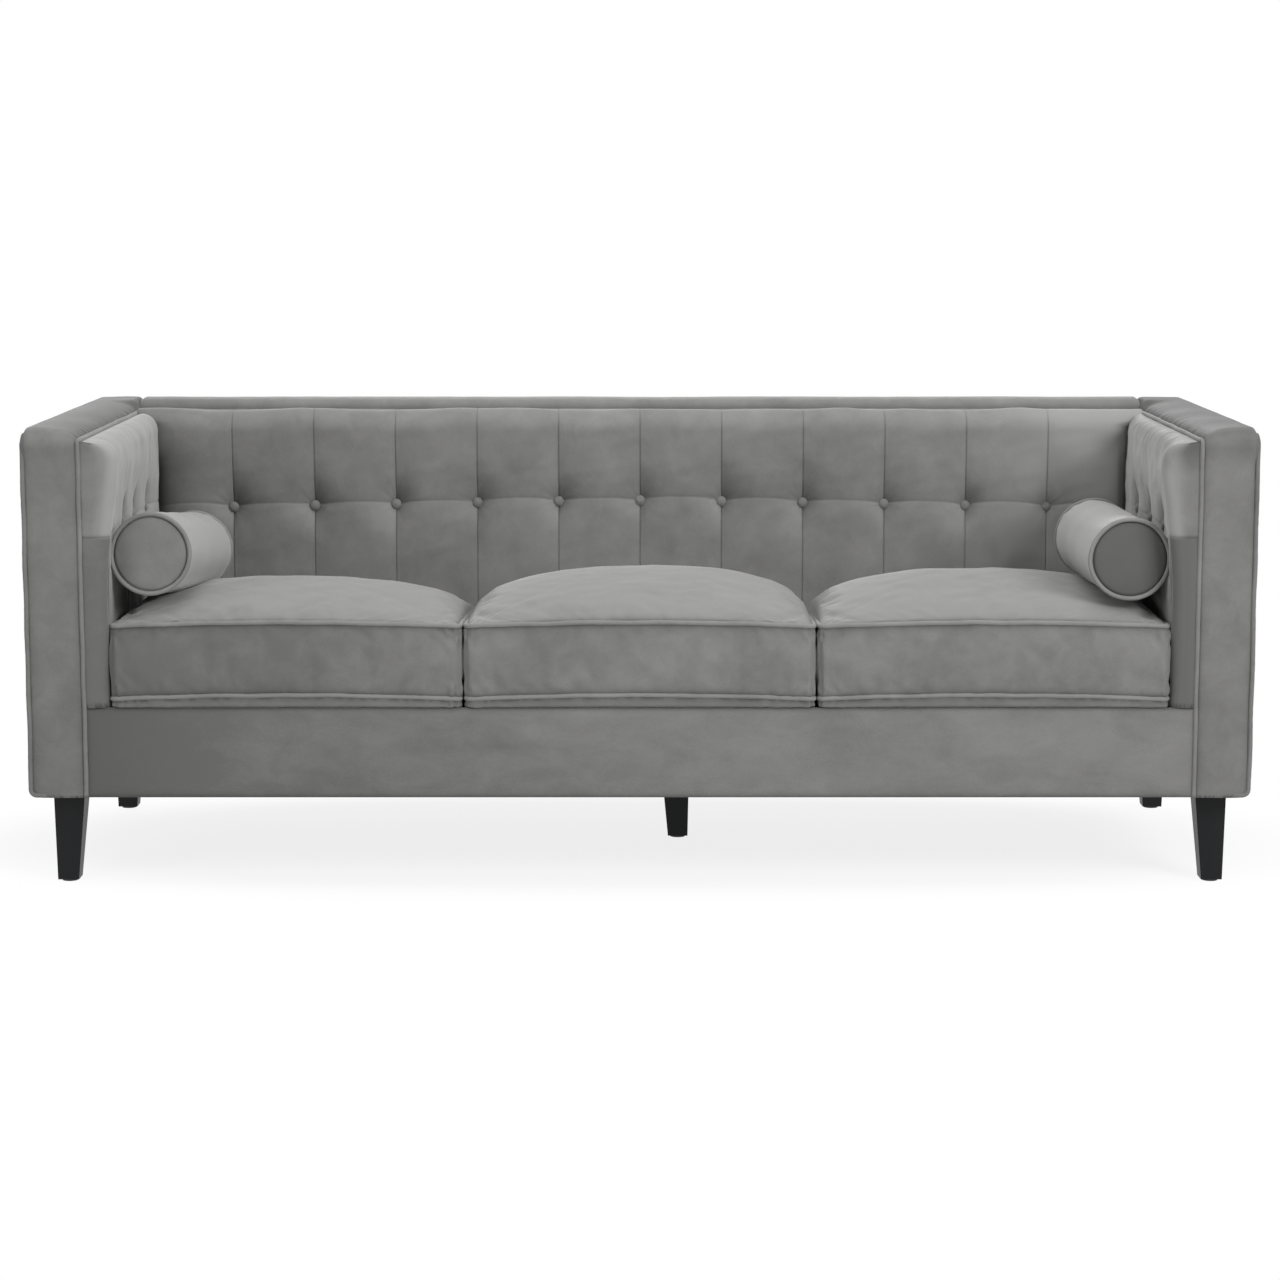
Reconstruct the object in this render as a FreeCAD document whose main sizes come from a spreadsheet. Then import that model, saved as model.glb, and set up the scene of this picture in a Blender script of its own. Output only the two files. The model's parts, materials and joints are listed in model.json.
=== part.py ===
# Tufted three-seat sofa: a hardwood frame, zigzag springs, tufted pads on three sides,
# three loose seat cushions, two loose bolsters and five tapered legs.
# Millimetres. X runs to the right seen from the front, Y to the rear and Z up.
# The origin is on the floor, under the middle of the sofa.
import FreeCAD, Part
import math
import os
import re

import Sketcher
from FreeCAD import Placement, Rotation, Vector

doc = FreeCAD.newDocument("TuftedSofa")

# Driving sizes
sizes = {
    # the whole sofa
    "overall_width": 2130,  # over the piping of both arms
    "overall_depth": 805,  # over the front and rear piping
    "arm_height": 785,  # floor to the piping line of arms and back
    "band_rise": 18,  # how far the top bands dome over that line
    "arm_thickness": 100,  # outer edge of an arm to its inner piping
    "piping_diameter": 8,
    "piping_proud": 2,  # how far the piping stands proud of the panels
    "piping_turn": 6,  # radius of the piping's centre line at a corner
    "bottom_turn": 20,  # rounded lower outer corner of an arm front
    # frame
    "panel_thickness": 6,  # outside cover with the board behind it
    "rail_clearance": 9,  # piping line to the top of the frame
    "seam_clearance": 1,  # inner piping to the posts behind it
    "timber": 28,  # thickness of rails and posts
    "rail_height": 130,
    "tack_rail_height": 45,
    "tack_rail_gap": 10,  # between the deck and the tack rails, for pulling cloth through
    "upright_spacing": 640,
    "block_size": 80,  # leg blocks, square in plan
    "block_height": 40,
    "dust_cover_thickness": 1.5,
    # legs
    "leg_height": 162,  # floor to the underside of the base
    "leg_top": 55,
    "leg_foot": 37,
    "leg_outer_slope": 3,  # how far a leg's outer faces run in towards the floor
    "leg_inset_side": 33.5,  # side of the sofa to the outer face of a leg
    "leg_inset_end": 55,  # front or rear of the sofa to the face of a leg
    "centre_leg_shift": 65,  # to the right of the middle
    "centre_leg_back": 42,  # behind the middle
    "glide_diameter": 28,
    "glide_height": 4,
    "glide_pin_diameter": 5,
    "glide_pin_length": 12,
    "bolt_diameter": 8,
    "bolt_in_leg": 30,
    "hole_clearance": 0.3,  # round a bolt or a pin, on the radius
    "tee_nut_barrel": 11,
    "tee_nut_length": 10,
    "tee_nut_flange": 22,
    "tee_nut_flange_thickness": 1.5,
    # seat deck
    "deck_height": 320,  # floor to the front edge of the deck the cushions lie on
    "seat_slope": 5,  # degrees, how the deck falls towards the rear
    "deck_pad_thickness": 18,
    "deck_cloth_thickness": 1.2,
    "spring_wire": 3.6,
    "spring_width": 52,
    "spring_bend": 20,  # radius of a spring's bends
    "spring_count": 9,
    "clip_thickness": 1.6,
    "clip_width": 26,
    "clip_clearance": 0.2,
    # tufted pads
    "back_pad_thickness": 86,  # inner piping line to the fullest line of the back pad
    "back_quilt_depth": 46,  # sewn layer in front of the foam slab
    "back_seam_dip": 12,
    "back_button_dip": 19,
    "arm_pad_thickness": 43,
    "arm_quilt_depth": 26,
    "arm_seam_dip": 8,
    "arm_button_dip": 13,
    "quilt_bottom_gap": 2,  # between the deck and the lower edge of the quilts
    "quilt_edge_dip": 3,  # how far a quilt thins towards its lower and upper edges
    "cap_rounding": 3,  # how far the front end of an arm pad runs in
    "cap_rise": 10,  # upper edge of that front end over the slab
    "tuft_line": 298,  # deck to the line of buttons
    "tuft_pitch": 156,  # between the buttons of the back
    "tuft_columns": 12,
    "left_first_tuft": 258,  # front of the left arm to its first button
    "left_tuft_pitch": 131,
    "right_first_tuft": 190,
    "right_tuft_pitch": 148,
    "arm_tufts": 3,
    "pad_crest_rise": 7,  # the pads' rolled top over the piping line
    "slab_top_drop": 15,  # piping line to the top of the foam slabs
    "webbing_thickness": 2,
    "webbing_width": 50,
    "corner_clearance": 3,  # between an arm pad's rear end and the back pad's end seam
    "button_diameter": 25,
    "button_thickness": 8,
    "button_crown": 0.6,  # rounded share of a button's thickness
    "button_clearance": 0.5,
    "tie_diameter": 2,
    # loose cushions
    "cushion_gap": 1,  # between the cushions, and between them and the pads
    "cushion_edge": 146,  # underside to the upper piping
    "cushion_low_edge": 20,  # underside to the lower piping
    "cushion_corner": 18,
    "cushion_draw_in": 4,  # how far the sides pull in between the pipings
    "cushion_rounding": 16,  # how far the underside runs in
    "left_crown": 72,
    "centre_crown": 89,
    "right_crown": 85,
    "crown_bulge_x": 2.3,  # higher is a flatter crown across the cushion
    "crown_steepness_x": 0.48,  # lower is a steeper edge
    "crown_bulge_y": 1.5,
    "crown_steepness_y": 0.75,
    "crown_flat": 0.015,  # share of a crown's height where its flat top spreads
    "piping_sink": 1,  # how far the cushion's own pipings are sunk into its sides
    "cover_thickness": 1.6,
    "core_clearance": 0.5,
    "seat_clearance": 0.3,  # between loose soft pieces and what they lie on
    # bolsters
    "bolster_diameter": 148,  # over the piping
    "bolster_length": 400,
    "bolster_puff": 7,  # how far the round ends bulge
    "bolster_piping_proud": 2.5,  # how far the end pipings stand out of the body
    "bolster_setback": 50,  # arm front to the front end
    "bolster_gap": 1,  # between a bolster and the arm pad
    "left_bolster_sink": 1.5,  # how far a bolster's body presses into the crown
    "right_bolster_sink": 2,
    "left_bolster_tilt": 3.5,  # degrees, front end up
    "right_bolster_tilt": 1.1,
    "left_bolster_turn": 2.2,  # degrees, rear end towards the middle
    "right_bolster_turn": 0,
}

sheet = doc.addObject("Spreadsheet::Sheet", "Sizes")
for row, (alias, number) in enumerate(sizes.items(), start=1):
    sheet.set(f"A{row}", alias)
    sheet.set(f"B{row}", str(number))
    sheet.setAlias(f"B{row}", alias)
doc.recompute()

# Derived places, each written once as a formula of the driving sizes
places = doc.addObject("App::VarSet", "Places")
place_names = []


def formula(text):
    """Name the sheet or the set of places that each word of a formula comes from."""
    def owner(match):
        word = match.group()
        if word in sizes:
            return "Sizes." + word
        if word in place_names:
            return "Places." + word
        return word
    return re.sub(r"[a-z_]+", owner, text)


def size(alias):
    return float(sheet.get(alias))


def at(name):
    return getattr(places, name)


derived = {
    "outer_x": "overall_width / 2",
    "front_y": "-overall_depth / 2",
    "rear_y": "overall_depth / 2",
    "piping_radius": "piping_diameter / 2",
    "outer_piping_x": "outer_x - piping_radius",
    "front_piping_y": "front_y + piping_radius",
    "rear_piping_y": "rear_y - piping_radius",
    "inner_piping_x": "outer_x - arm_thickness",
    "back_piping_y": "rear_y - arm_thickness",
    # the timber frame, inside the panels
    "frame_x": "outer_x - piping_proud - panel_thickness",
    "frame_front": "front_y + piping_proud + panel_thickness",
    "frame_rear": "rear_y - piping_proud - panel_thickness",
    "frame_inner_x": "inner_piping_x + piping_radius + seam_clearance",
    "frame_inner_y": "back_piping_y + piping_radius + seam_clearance",
    "frame_bottom": "leg_height + dust_cover_thickness",
    "rail_top": "frame_bottom + rail_height",
    "frame_top": "arm_height - rail_clearance",
    # bands and panels meet the piping where its sides are tangent to them
    "band_outer_x": "outer_piping_x - piping_radius",
    "band_inner_x": "inner_piping_x + piping_radius",
    "band_front": "front_y + piping_proud",
    "band_rear": "rear_piping_y - piping_radius",
    "band_back_front": "back_piping_y + piping_radius",
    "cover_edge_x": "inner_piping_x - piping_radius",
    "piping_end_x": "outer_piping_x - bottom_turn - piping_diameter",
    # deck
    "spring_z": "rail_top + clip_thickness + spring_wire / 2 + clip_clearance",
    "spring_span": "frame_rear - frame_front - timber",
    "rear_rail_top": "rail_top - spring_span * sin(seat_slope)",
    "deck_layers": "deck_pad_thickness + deck_cloth_thickness",
    "deck_front": "frame_front + deck_layers * sin(seat_slope)",
    "deck_run": "(frame_inner_y - deck_front) / cos(seat_slope)",
    "tack_rail_bottom": "deck_height + tack_rail_gap",
    # tufted pads: backing plane of the quilts and fullest line
    "back_pad_y": "back_piping_y - back_pad_thickness",
    "back_slab_y": "back_pad_y + back_quilt_depth",
    "arm_pad_x": "inner_piping_x - arm_pad_thickness",
    "arm_slab_x": "arm_pad_x + arm_quilt_depth",
    "quilt_bottom": "deck_height + quilt_bottom_gap",
    "back_quilt_drop": "(back_pad_y - frame_front) * tan(seat_slope)",
    "back_tack_bottom": "tack_rail_bottom - back_quilt_drop",
    "tuft_z": "deck_height + tuft_line",
    "slab_top": "arm_height - slab_top_drop",
    "slab_front": "frame_front + panel_thickness + piping_radius",
    # cushions
    "cushion_pitch": "(2 * arm_pad_x - cushion_gap) / 3",
    "cushion_half_x": "(cushion_pitch - cushion_gap) / 2",
    "cushion_lean": "(cushion_edge - cushion_low_edge) * sin(seat_slope)",
    "cushion_half_y": "(back_pad_y - cushion_gap - front_y - cushion_lean) / 2 / cos(seat_slope)",
    "cushion_y": "front_y + cushion_half_y * cos(seat_slope) - cushion_low_edge * sin(seat_slope)",
    "cushion_z": "deck_height - (cushion_y - deck_front) * tan(seat_slope)",
    # legs
    "leg_x": "outer_x - leg_inset_side - leg_top / 2",
    "leg_y": "rear_y - leg_inset_end - leg_top / 2",
}
for name, text in derived.items():
    places.addProperty("App::PropertyFloat", name)
    places.setExpression(name, formula(text))
    place_names.append(name)
doc.recompute()

nodes = []  # every object that becomes a file of its own


def node(obj, label):
    obj.Label = label
    nodes.append(obj)
    return obj


# Makers shared by many pieces
def board(name, x, y, z):
    """A straight board between two formulas on each axis."""
    box = doc.addObject("Part::Box", name)
    for side, axis, (start, end) in (("Length", "x", x), ("Width", "y", y), ("Height", "z", z)):
        box.setExpression(side, formula(f"({end}) - ({start})"))
        box.setExpression(f"Placement.Base.{axis}", formula(start))
    return box


def mirrored(side, start, end):
    """The same stretch of X on the right (1) or the left (-1) of the sofa."""
    return (start, end) if side > 0 else (f"-({end})", f"-({start})")


def group(label, members):
    """Several equal pieces that share one node."""
    compound = doc.addObject("Part::Compound", label)
    compound.Links = members
    return node(compound, label)


def disc(name, diameter, height, x, y, z):
    cylinder = doc.addObject("Part::Cylinder", name)
    cylinder.setExpression("Radius", formula(f"({diameter}) / 2"))
    cylinder.setExpression("Height", formula(height))
    for axis, text in (("x", x), ("y", y), ("z", z)):
        cylinder.setExpression(f"Placement.Base.{axis}", formula(text))
    return cylinder


def cut(name, base, tools):
    """A piece with holes or pockets taken out of it."""
    tool = tools[0]
    if len(tools) > 1:
        tool = doc.addObject("Part::MultiFuse", name + "_tools")
        tool.Shapes = tools
    result = doc.addObject("Part::Cut", name)
    result.Base = base
    result.Tool = tool
    return result


def feature(name, shape):
    """A piece whose shape is worked out from the sheet by the functions below."""
    obj = doc.addObject("Part::Feature", name)
    obj.Shape = shape
    return obj


def new_sketch(body, name, role, height="0"):
    sketch = body.newObject("Sketcher::SketchObject", name)
    plane = next(item for item in body.Origin.OriginFeatures if item.Role == role)
    sketch.AttachmentSupport = [(plane, "")]
    sketch.MapMode = "FlatFace"
    sketch.setExpression("AttachmentOffset.Base.z", formula(height))
    return sketch


def draw_rectangle(sketch, left, right, low, high):
    """A rectangle held by the formulas of its four sides, measured from the sketch origin."""
    corners = [(0, 0), (10, 0), (10, 10), (0, 10)]
    for (xa, ya), (xb, yb) in zip(corners, corners[1:] + corners[:1]):
        sketch.addGeometry(Part.LineSegment(Vector(xa, ya, 0), Vector(xb, yb, 0)))
    for line in range(4):
        sketch.addConstraint(Sketcher.Constraint("Coincident", line, 2, (line + 1) % 4, 1))
        sketch.addConstraint(Sketcher.Constraint(("Horizontal", "Vertical")[line % 2], line))
    held = (("DistanceX", 0, left), ("DistanceX", 2, right), ("DistanceY", 0, low), ("DistanceY", 2, high))
    for kind, line, text in held:
        index = sketch.addConstraint(Sketcher.Constraint(kind, -1, 1, line, 1, 5.0))
        sketch.setExpression(f"Constraints[{index}]", formula(text))


# Timber frame
def make_frame():
    seat_rail_z = ("frame_bottom", "rail_top")
    low_rail_z = ("frame_bottom", "rear_rail_top")  # the springs slope down to the rear rail
    top_rail_z = ("frame_top - timber", "frame_top")
    post_z = ("frame_bottom", "frame_top")
    tack_rail_z = ("tack_rail_bottom", "tack_rail_bottom + tack_rail_height")
    front_y = ("frame_front", "frame_front + timber")
    rear_y = ("frame_rear - timber", "frame_rear")
    between_y = ("frame_front + timber", "frame_rear - timber")
    between_x = ("-frame_inner_x", "frame_inner_x")
    node(board("FrontSeatRail", between_x, front_y, seat_rail_z), "front_seat_rail")
    node(board("RearSeatRail", between_x, rear_y, low_rail_z), "rear_seat_rail")
    # the cross rail runs beside the block that carries the centre leg
    cross_x = ("centre_leg_shift - block_size / 2 - timber", "centre_leg_shift - block_size / 2")
    node(board("CentreCrossRail", cross_x, between_y, low_rail_z), "centre_cross_rail")
    tack_rails = []
    for side, word in ((-1, "left"), (1, "right")):
        full_x = mirrored(side, "frame_inner_x", "frame_x")
        rail_x = mirrored(side, "frame_x - timber", "frame_x")
        tack_x = mirrored(side, "frame_inner_x", "frame_inner_x + timber")
        node(board(word + "SeatRail", rail_x, between_y, seat_rail_z), word + "_seat_rail")
        node(board(word + "ArmPost", full_x, front_y, post_z), word + "_arm_post")
        node(board(word + "BackPost", full_x, rear_y, post_z), word + "_back_post")
        node(board(word + "ArmTopRail", full_x, between_y, top_rail_z), word + "_arm_top_rail")
        tack_rails.append(board(word + "TackRail", tack_x, between_y, tack_rail_z))
    group("arm_tack_rails", tack_rails)
    back_y = ("frame_inner_y", "frame_rear")
    node(board("BackTopRail", between_x, back_y, top_rail_z), "back_top_rail")
    node(board("BackTackRail", between_x, ("frame_inner_y", "frame_inner_y + timber"),
               ("back_tack_bottom", "back_tack_bottom + tack_rail_height")), "back_tack_rail")
    uprights = []
    for side, word in ((-1, "left"), (1, "right")):
        upright_x = mirrored(side, "(upright_spacing - timber) / 2", "(upright_spacing + timber) / 2")
        uprights.append(board(word + "Upright", upright_x, rear_y, ("rear_rail_top", "frame_top - timber")))
    group("back_uprights", uprights)


# Legs, with the blocks, bolts, tee nuts and glides that hold them
leg_spots = (
    ("front_left_leg", -1, -1, "-leg_x", "-leg_y"),
    ("front_right_leg", 1, -1, "leg_x", "-leg_y"),
    ("rear_left_leg", -1, 1, "-leg_x", "leg_y"),
    ("rear_right_leg", 1, 1, "leg_x", "leg_y"),
    ("centre_leg", 1, 1, "centre_leg_shift", "centre_leg_back"),
)


def make_leg(label, side_x, side_y, x, y):
    """A square taper whose two outer faces stand nearly upright, bored for its bolt and glide pin."""
    body = doc.addObject("PartDesign::Body", label)
    top = new_sketch(body, label + "_top", "XY_Plane", "leg_height")
    draw_rectangle(top, f"{x} - leg_top / 2", f"{x} + leg_top / 2", f"{y} - leg_top / 2", f"{y} + leg_top / 2")
    foot = new_sketch(body, label + "_foot", "XY_Plane", "glide_height")
    reach = {}
    for axis, centre, side in (("x", x, side_x), ("y", y, side_y)):
        outer = f"{centre} + {side} * (leg_top / 2 - leg_outer_slope)"
        inner = f"{centre} + {side} * (leg_top / 2 - leg_outer_slope - leg_foot)"
        reach[axis] = (inner, outer) if side > 0 else (outer, inner)
    draw_rectangle(foot, *reach["x"], *reach["y"])
    loft = body.newObject("PartDesign::AdditiveLoft", label + "_taper")
    loft.Profile = foot
    loft.Sections = [top]
    loft.Ruled = True
    doc.recompute()
    taper_volume = loft.Shape.Volume
    bores = (
        ("bolt", "leg_height", x, y, "bolt_diameter / 2 + hole_clearance", "bolt_in_leg + 1", False),
        ("pin", "glide_height", glide_spot(x, side_x), glide_spot(y, side_y),
         "glide_pin_diameter / 2 + hole_clearance", "glide_pin_length + 1", True),
    )
    for word, height, centre_x, centre_y, radius, depth, upwards in bores:
        bore = new_sketch(body, f"{label}_{word}", "XY_Plane", height)
        bore.addGeometry(Part.Circle(Vector(5, 5, 0), Vector(0, 0, 1), 3))
        held = (("DistanceX", centre_x), ("DistanceY", centre_y))
        for kind, text in held:
            index = bore.addConstraint(Sketcher.Constraint(kind, -1, 1, 0, 3, 5.0))
            bore.setExpression(f"Constraints[{index}]", formula(text))
        index = bore.addConstraint(Sketcher.Constraint("Radius", 0, 3.0))
        bore.setExpression(f"Constraints[{index}]", formula(radius))
        pocket = body.newObject("PartDesign::Pocket", f"{label}_{word}_bore")
        pocket.Profile = bore
        pocket.setExpression("Length", formula(depth))
        pocket.Reversed = upwards
        doc.recompute()
        if pocket.Shape.Volume >= taper_volume - 1:
            raise RuntimeError(f"{label}: the {word} bore took nothing away")
        taper_volume = pocket.Shape.Volume
    return node(body, label)


def glide_spot(centre, side):
    """Middle of a leg's foot along one axis."""
    return f"{centre} + {side} * (leg_top / 2 - leg_outer_slope - leg_foot / 2)"


def make_legs():
    blocks, bolts, nuts, glides = [], [], [], []
    nut_top = "frame_bottom + block_height"
    for label, side_x, side_y, x, y in leg_spots:
        make_leg(label, side_x, side_y, x, y)
        if label == "centre_leg":
            block_x = (f"{x} - block_size / 2", f"{x} + block_size / 2")
            block_y = (f"{y} - block_size / 2", f"{y} + block_size / 2")
        else:
            # each corner block lies against the side rail and the front or rear rail
            block_x = mirrored(side_x, "frame_x - timber - block_size", "frame_x - timber")
            inner = "frame_rear - timber - block_size"
            block_y = mirrored(side_y, inner, "frame_rear - timber")
        block = board(label + "_block", block_x, block_y, ("frame_bottom", nut_top))
        bore = disc(label + "_block_bore", "tee_nut_barrel + 2 * hole_clearance",
                    "block_height + 2", x, y, "frame_bottom - 1")
        blocks.append(cut(label + "_bored_block", block, [bore]))
        bolts.append(disc(label + "_bolt", "bolt_diameter",
                          f"{nut_top} + tee_nut_flange_thickness - leg_height + bolt_in_leg",
                          x, y, "leg_height - bolt_in_leg"))
        flange = disc(label + "_flange", "tee_nut_flange", "tee_nut_flange_thickness", x, y, nut_top)
        barrel = disc(label + "_barrel", "tee_nut_barrel", "tee_nut_length", x, y,
                      f"{nut_top} - tee_nut_length")
        blank = doc.addObject("Part::MultiFuse", label + "_nut_blank")
        blank.Shapes = [flange, barrel]
        thread = disc(label + "_thread", "bolt_diameter + hole_clearance", "block_height", x, y,
                      f"{nut_top} - block_height / 2")
        nuts.append(cut(label + "_tee_nut", blank, [thread]))
        spot = (glide_spot(x, side_x), glide_spot(y, side_y))
        foot = disc(label + "_glide_disc", "glide_diameter", "glide_height", *spot, "0")
        pin = disc(label + "_glide_pin", "glide_pin_diameter", "glide_height / 2 + glide_pin_length",
                   *spot, "glide_height / 2")
        glide = doc.addObject("Part::MultiFuse", label + "_glide")
        glide.Shapes = [foot, pin]
        glides.append(glide)
    group("leg_blocks", blocks)
    group("leg_bolts", bolts)
    group("tee_nuts", nuts)
    group("foot_glides", glides)


def make_dust_cover():
    """The black cloth under the frame, with a hole for each leg bolt."""
    sheet_box = board("DustCoverSheet", ("-frame_x", "frame_x"), ("frame_front", "frame_rear"),
                      ("leg_height", "frame_bottom"))
    holes = []
    for label, _, _, x, y in leg_spots:
        holes.append(disc(label + "_cover_hole", "bolt_diameter + 2 * hole_clearance",
                          "dust_cover_thickness + 2", x, y, "leg_height - 1"))
    node(cut("DustCover", sheet_box, holes), "dust_cover")


# Seat deck
def zigzag_path(x, y_start, y_end, z, half_width, bend):
    """Straight runs across, joined by half turns, from one clip to the other."""
    turns = int((y_end - y_start) / (2 * bend))
    first = (y_start + y_end) / 2 - turns * bend
    side = -1
    y = first
    reach = half_width - bend
    edges = [Part.LineSegment(Vector(x, y, z), Vector(x + side * reach, y, z)).toShape()]
    for turn in range(turns):
        start = Vector(x + side * reach, y, z)
        top = Vector(x + side * (reach + bend), y + bend, z)
        end = Vector(x + side * reach, y + 2 * bend, z)
        edges.append(Part.Arc(start, top, end).toShape())
        y += 2 * bend
        last = turn == turns - 1
        far = Vector(x if last else x - side * reach, y, z)
        edges.append(Part.LineSegment(end, far).toShape())
        side = -side
    return Part.Wire(edges)


def make_springs():
    """Zigzag springs that slope from front rail to rear rail, one clip at each end."""
    count = int(size("spring_count"))
    span = 2 * at("inner_piping_x")
    wire_radius = size("spring_wire") / 2
    bend = size("spring_bend")
    on_rail = size("timber") / 2
    y_start = at("frame_front") + on_rail
    y_end = y_start + at("spring_span")
    hinge = Vector(0, y_start, at("spring_z"))
    springs, clips = [], []
    for index in range(count):
        x = -span / 2 + span * (index + 0.5) / count
        path = zigzag_path(x, y_start, y_end, at("spring_z"), size("spring_width") / 2, bend)
        first = path.Edges[0]
        ring = Part.Circle(first.Vertexes[0].Point, Vector(1, 0, 0), wire_radius).toShape()
        wire = path.makePipeShell([Part.Wire([ring])], True, False)
        wire.rotate(hinge, Vector(1, 0, 0), -size("seat_slope"))
        springs.append(feature(f"Spring{index}", wire))
        expected = math.pi * wire_radius ** 2 * path.Length
        if abs(wire.Volume / expected - 1) > 0.01:
            raise RuntimeError("a spring's volume isn't its section times its length")
        for end, rail in ((y_start, at("rail_top")), (y_end, at("rear_rail_top"))):
            half = size("clip_width") / 2
            clip = Part.makeBox(2 * half, size("timber") - 2, size("clip_thickness"),
                                Vector(x - half, end - on_rail + 1, rail))
            clips.append(feature(f"Clip{len(clips)}", clip))
    print("spring bends: radius", bend, "gap between runs", 2 * bend - 2 * wire_radius)
    group("seat_springs", springs)
    group("spring_clips", clips)


def make_deck():
    """The cloth over the springs and the pad on it, both falling towards the rear."""
    layers = (("DeckPad", "deck_pad", "deck_pad_thickness", "deck_pad_thickness"),
              ("DeckCloth", "deck_cloth", "deck_cloth_thickness", "deck_layers"))
    for name, label, thickness, depth in layers:
        layer = board(name, ("-frame_inner_x", "frame_inner_x"), ("frame_front", "frame_front + deck_run"),
                      ("deck_height", f"deck_height + {thickness}"))
        # its front upper edge is at deck height once it is tilted
        layer.Placement.Rotation = Rotation(Vector(1, 0, 0), -size("seat_slope"))
        layer.setExpression("Placement.Rotation.Angle", formula("-seat_slope"))
        layer.setExpression("Placement.Base.y", formula(f"deck_front - {depth} * sin(seat_slope)"))
        layer.setExpression("Placement.Base.z", formula(f"deck_height - {depth} * cos(seat_slope)"))
        node(layer, label)


def deck_drop(y):
    """How far the deck has fallen at a place behind its front edge."""
    return max(0, y - at("frame_front")) * math.tan(math.radians(size("seat_slope")))


# Tufted pads
class Side:
    """Where a pad stands: its backing plane, and which way its face looks."""

    def __init__(self, plane, facing, seat):
        self.plane = plane  # distance of the backing plane from the middle
        self.facing = facing  # "back", "left" or "right"
        self.seat = seat  # the pad's own depth, and how far its top reaches back

    def low(self, along):
        """Lower edge of the quilt, which follows the deck."""
        if self.facing == "back":
            return at("quilt_bottom") - at("back_quilt_drop")
        return at("quilt_bottom") - deck_drop(along)

    def point(self, along, depth, z):
        if self.facing == "back":
            return Vector(along, self.plane - depth, z)
        if self.facing == "right":
            return Vector(self.plane - depth, along, z)
        return Vector(-(self.plane - depth), along, z)


def quilt_section(side, along, dip, crease_dip):
    """Side view of a quilt: two lobes with the button line between them, and a rolled top."""
    depth, wrap = side.seat
    full = depth - dip
    crease = depth - crease_dip
    low, middle, top = side.low(along), at("tuft_z"), at("slab_top")
    crest = size("arm_height") + size("pad_crest_rise")
    edge = size("arm_height") - at("piping_radius")
    lower = full - dip / 2 - size("quilt_edge_dip")
    outline = [side.point(along, 0, low), side.point(along, lower, low),
               side.point(along, crease, middle), side.point(along, lower, top),
               side.point(along, -wrap, edge), side.point(along, -wrap, top),
               side.point(along, 0, top)]
    through = {1: side.point(along, full, (low + middle) / 2),
               2: side.point(along, full, (middle + top) / 2),
               3: side.point(along, lower * 0.35 - wrap * 0.3, crest - dip / 3)}  # highest point of the roll
    edges = []
    for index, start in enumerate(outline):
        end = outline[(index + 1) % len(outline)]
        if index in through:
            edges.append(Part.Arc(start, through[index], end).toShape())
        else:
            edges.append(Part.LineSegment(start, end).toShape())
    return Part.Wire(edges)


def quilt_column(side, start, end, seam_dip, crease_dip, button_dip):
    """One sewn column: it is fullest half way between its two seams."""
    sections = [quilt_section(side, start, seam_dip, button_dip),
                quilt_section(side, (start + end) / 2, 0, crease_dip),
                quilt_section(side, end, seam_dip, button_dip)]
    return Part.makeLoft(sections, True, False)


def button_cylinder(side, along, radius, low, high):
    """A round pocket or pin across the pad, from one depth to another."""
    start = side.point(along, low, at("tuft_z"))
    end = side.point(along, high, at("tuft_z"))
    return Part.makeCylinder(radius, high - low, start, end - start)


def make_pad(word, side, seams, seam_dip, button_dip, back_depth, front_cap=None):
    """The quilt and slab of one side, with buttons and ties at the inner seams."""
    crease_dip = (seam_dip + button_dip) / 2
    columns = []
    for start, end in zip(seams, seams[1:]):
        columns.append(quilt_column(side, start, end, seam_dip, crease_dip, button_dip))
    if front_cap:
        columns.append(front_cap(side, seam_dip, button_dip))
    quilt = columns[0].fuse(columns[1:])
    depth, wrap = side.seat
    floor = depth - button_dip - size("button_thickness") / 2
    pocket_radius = size("button_diameter") / 2 + size("button_clearance")
    tie_radius = size("tie_diameter") / 2
    pockets, holes, buttons, ties = [], [], [], []
    for along in seams[1:-1]:
        pockets.append(button_cylinder(side, along, pocket_radius, floor, depth + 1))
        holes.append(button_cylinder(side, along, tie_radius + size("hole_clearance"), -back_depth - 1, floor + 1))
        buttons.append(button_shape(side, along, floor))
        ties.append(button_cylinder(side, along, tie_radius, -back_depth, floor))
    node(feature(word + "Quilt", quilt.cut(pockets + holes)), word + "_tufted_cover")
    return holes, buttons, ties


def button_shape(side, along, floor):
    """A covered button: a short drum with its front edge well rounded, over most of its thickness."""
    thickness = size("button_thickness")
    drum = button_cylinder(side, along, size("button_diameter") / 2, floor, floor + thickness)
    middle = side.point(along, floor + thickness, at("tuft_z"))
    rims = [edge for edge in drum.Edges if edge.CenterOfMass.distanceToPoint(middle) < 0.1]
    return drum.makeFillet(thickness * size("button_crown"), rims)


def arm_front_cap(side, seam_dip, button_dip):
    """The boxed front end of an arm pad, between the piping and the pad's face."""
    depth, _ = side.seat
    cover_depth = side.plane - at("cover_edge_x")
    low, top = at("quilt_bottom"), at("slab_top")
    sections = []
    for along, inset in ((at("band_front"), size("cap_rounding")), (at("slab_front"), 0)):
        corners = [side.point(along, cover_depth, low + inset), side.point(along, depth - seam_dip - inset, low),
                   side.point(along, depth - seam_dip - inset, top),
                   side.point(along, cover_depth, top + size("cap_rise"))]
        sections.append(Part.makePolygon(corners + corners[:1]))
    return Part.makeLoft(sections, True, True)


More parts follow.
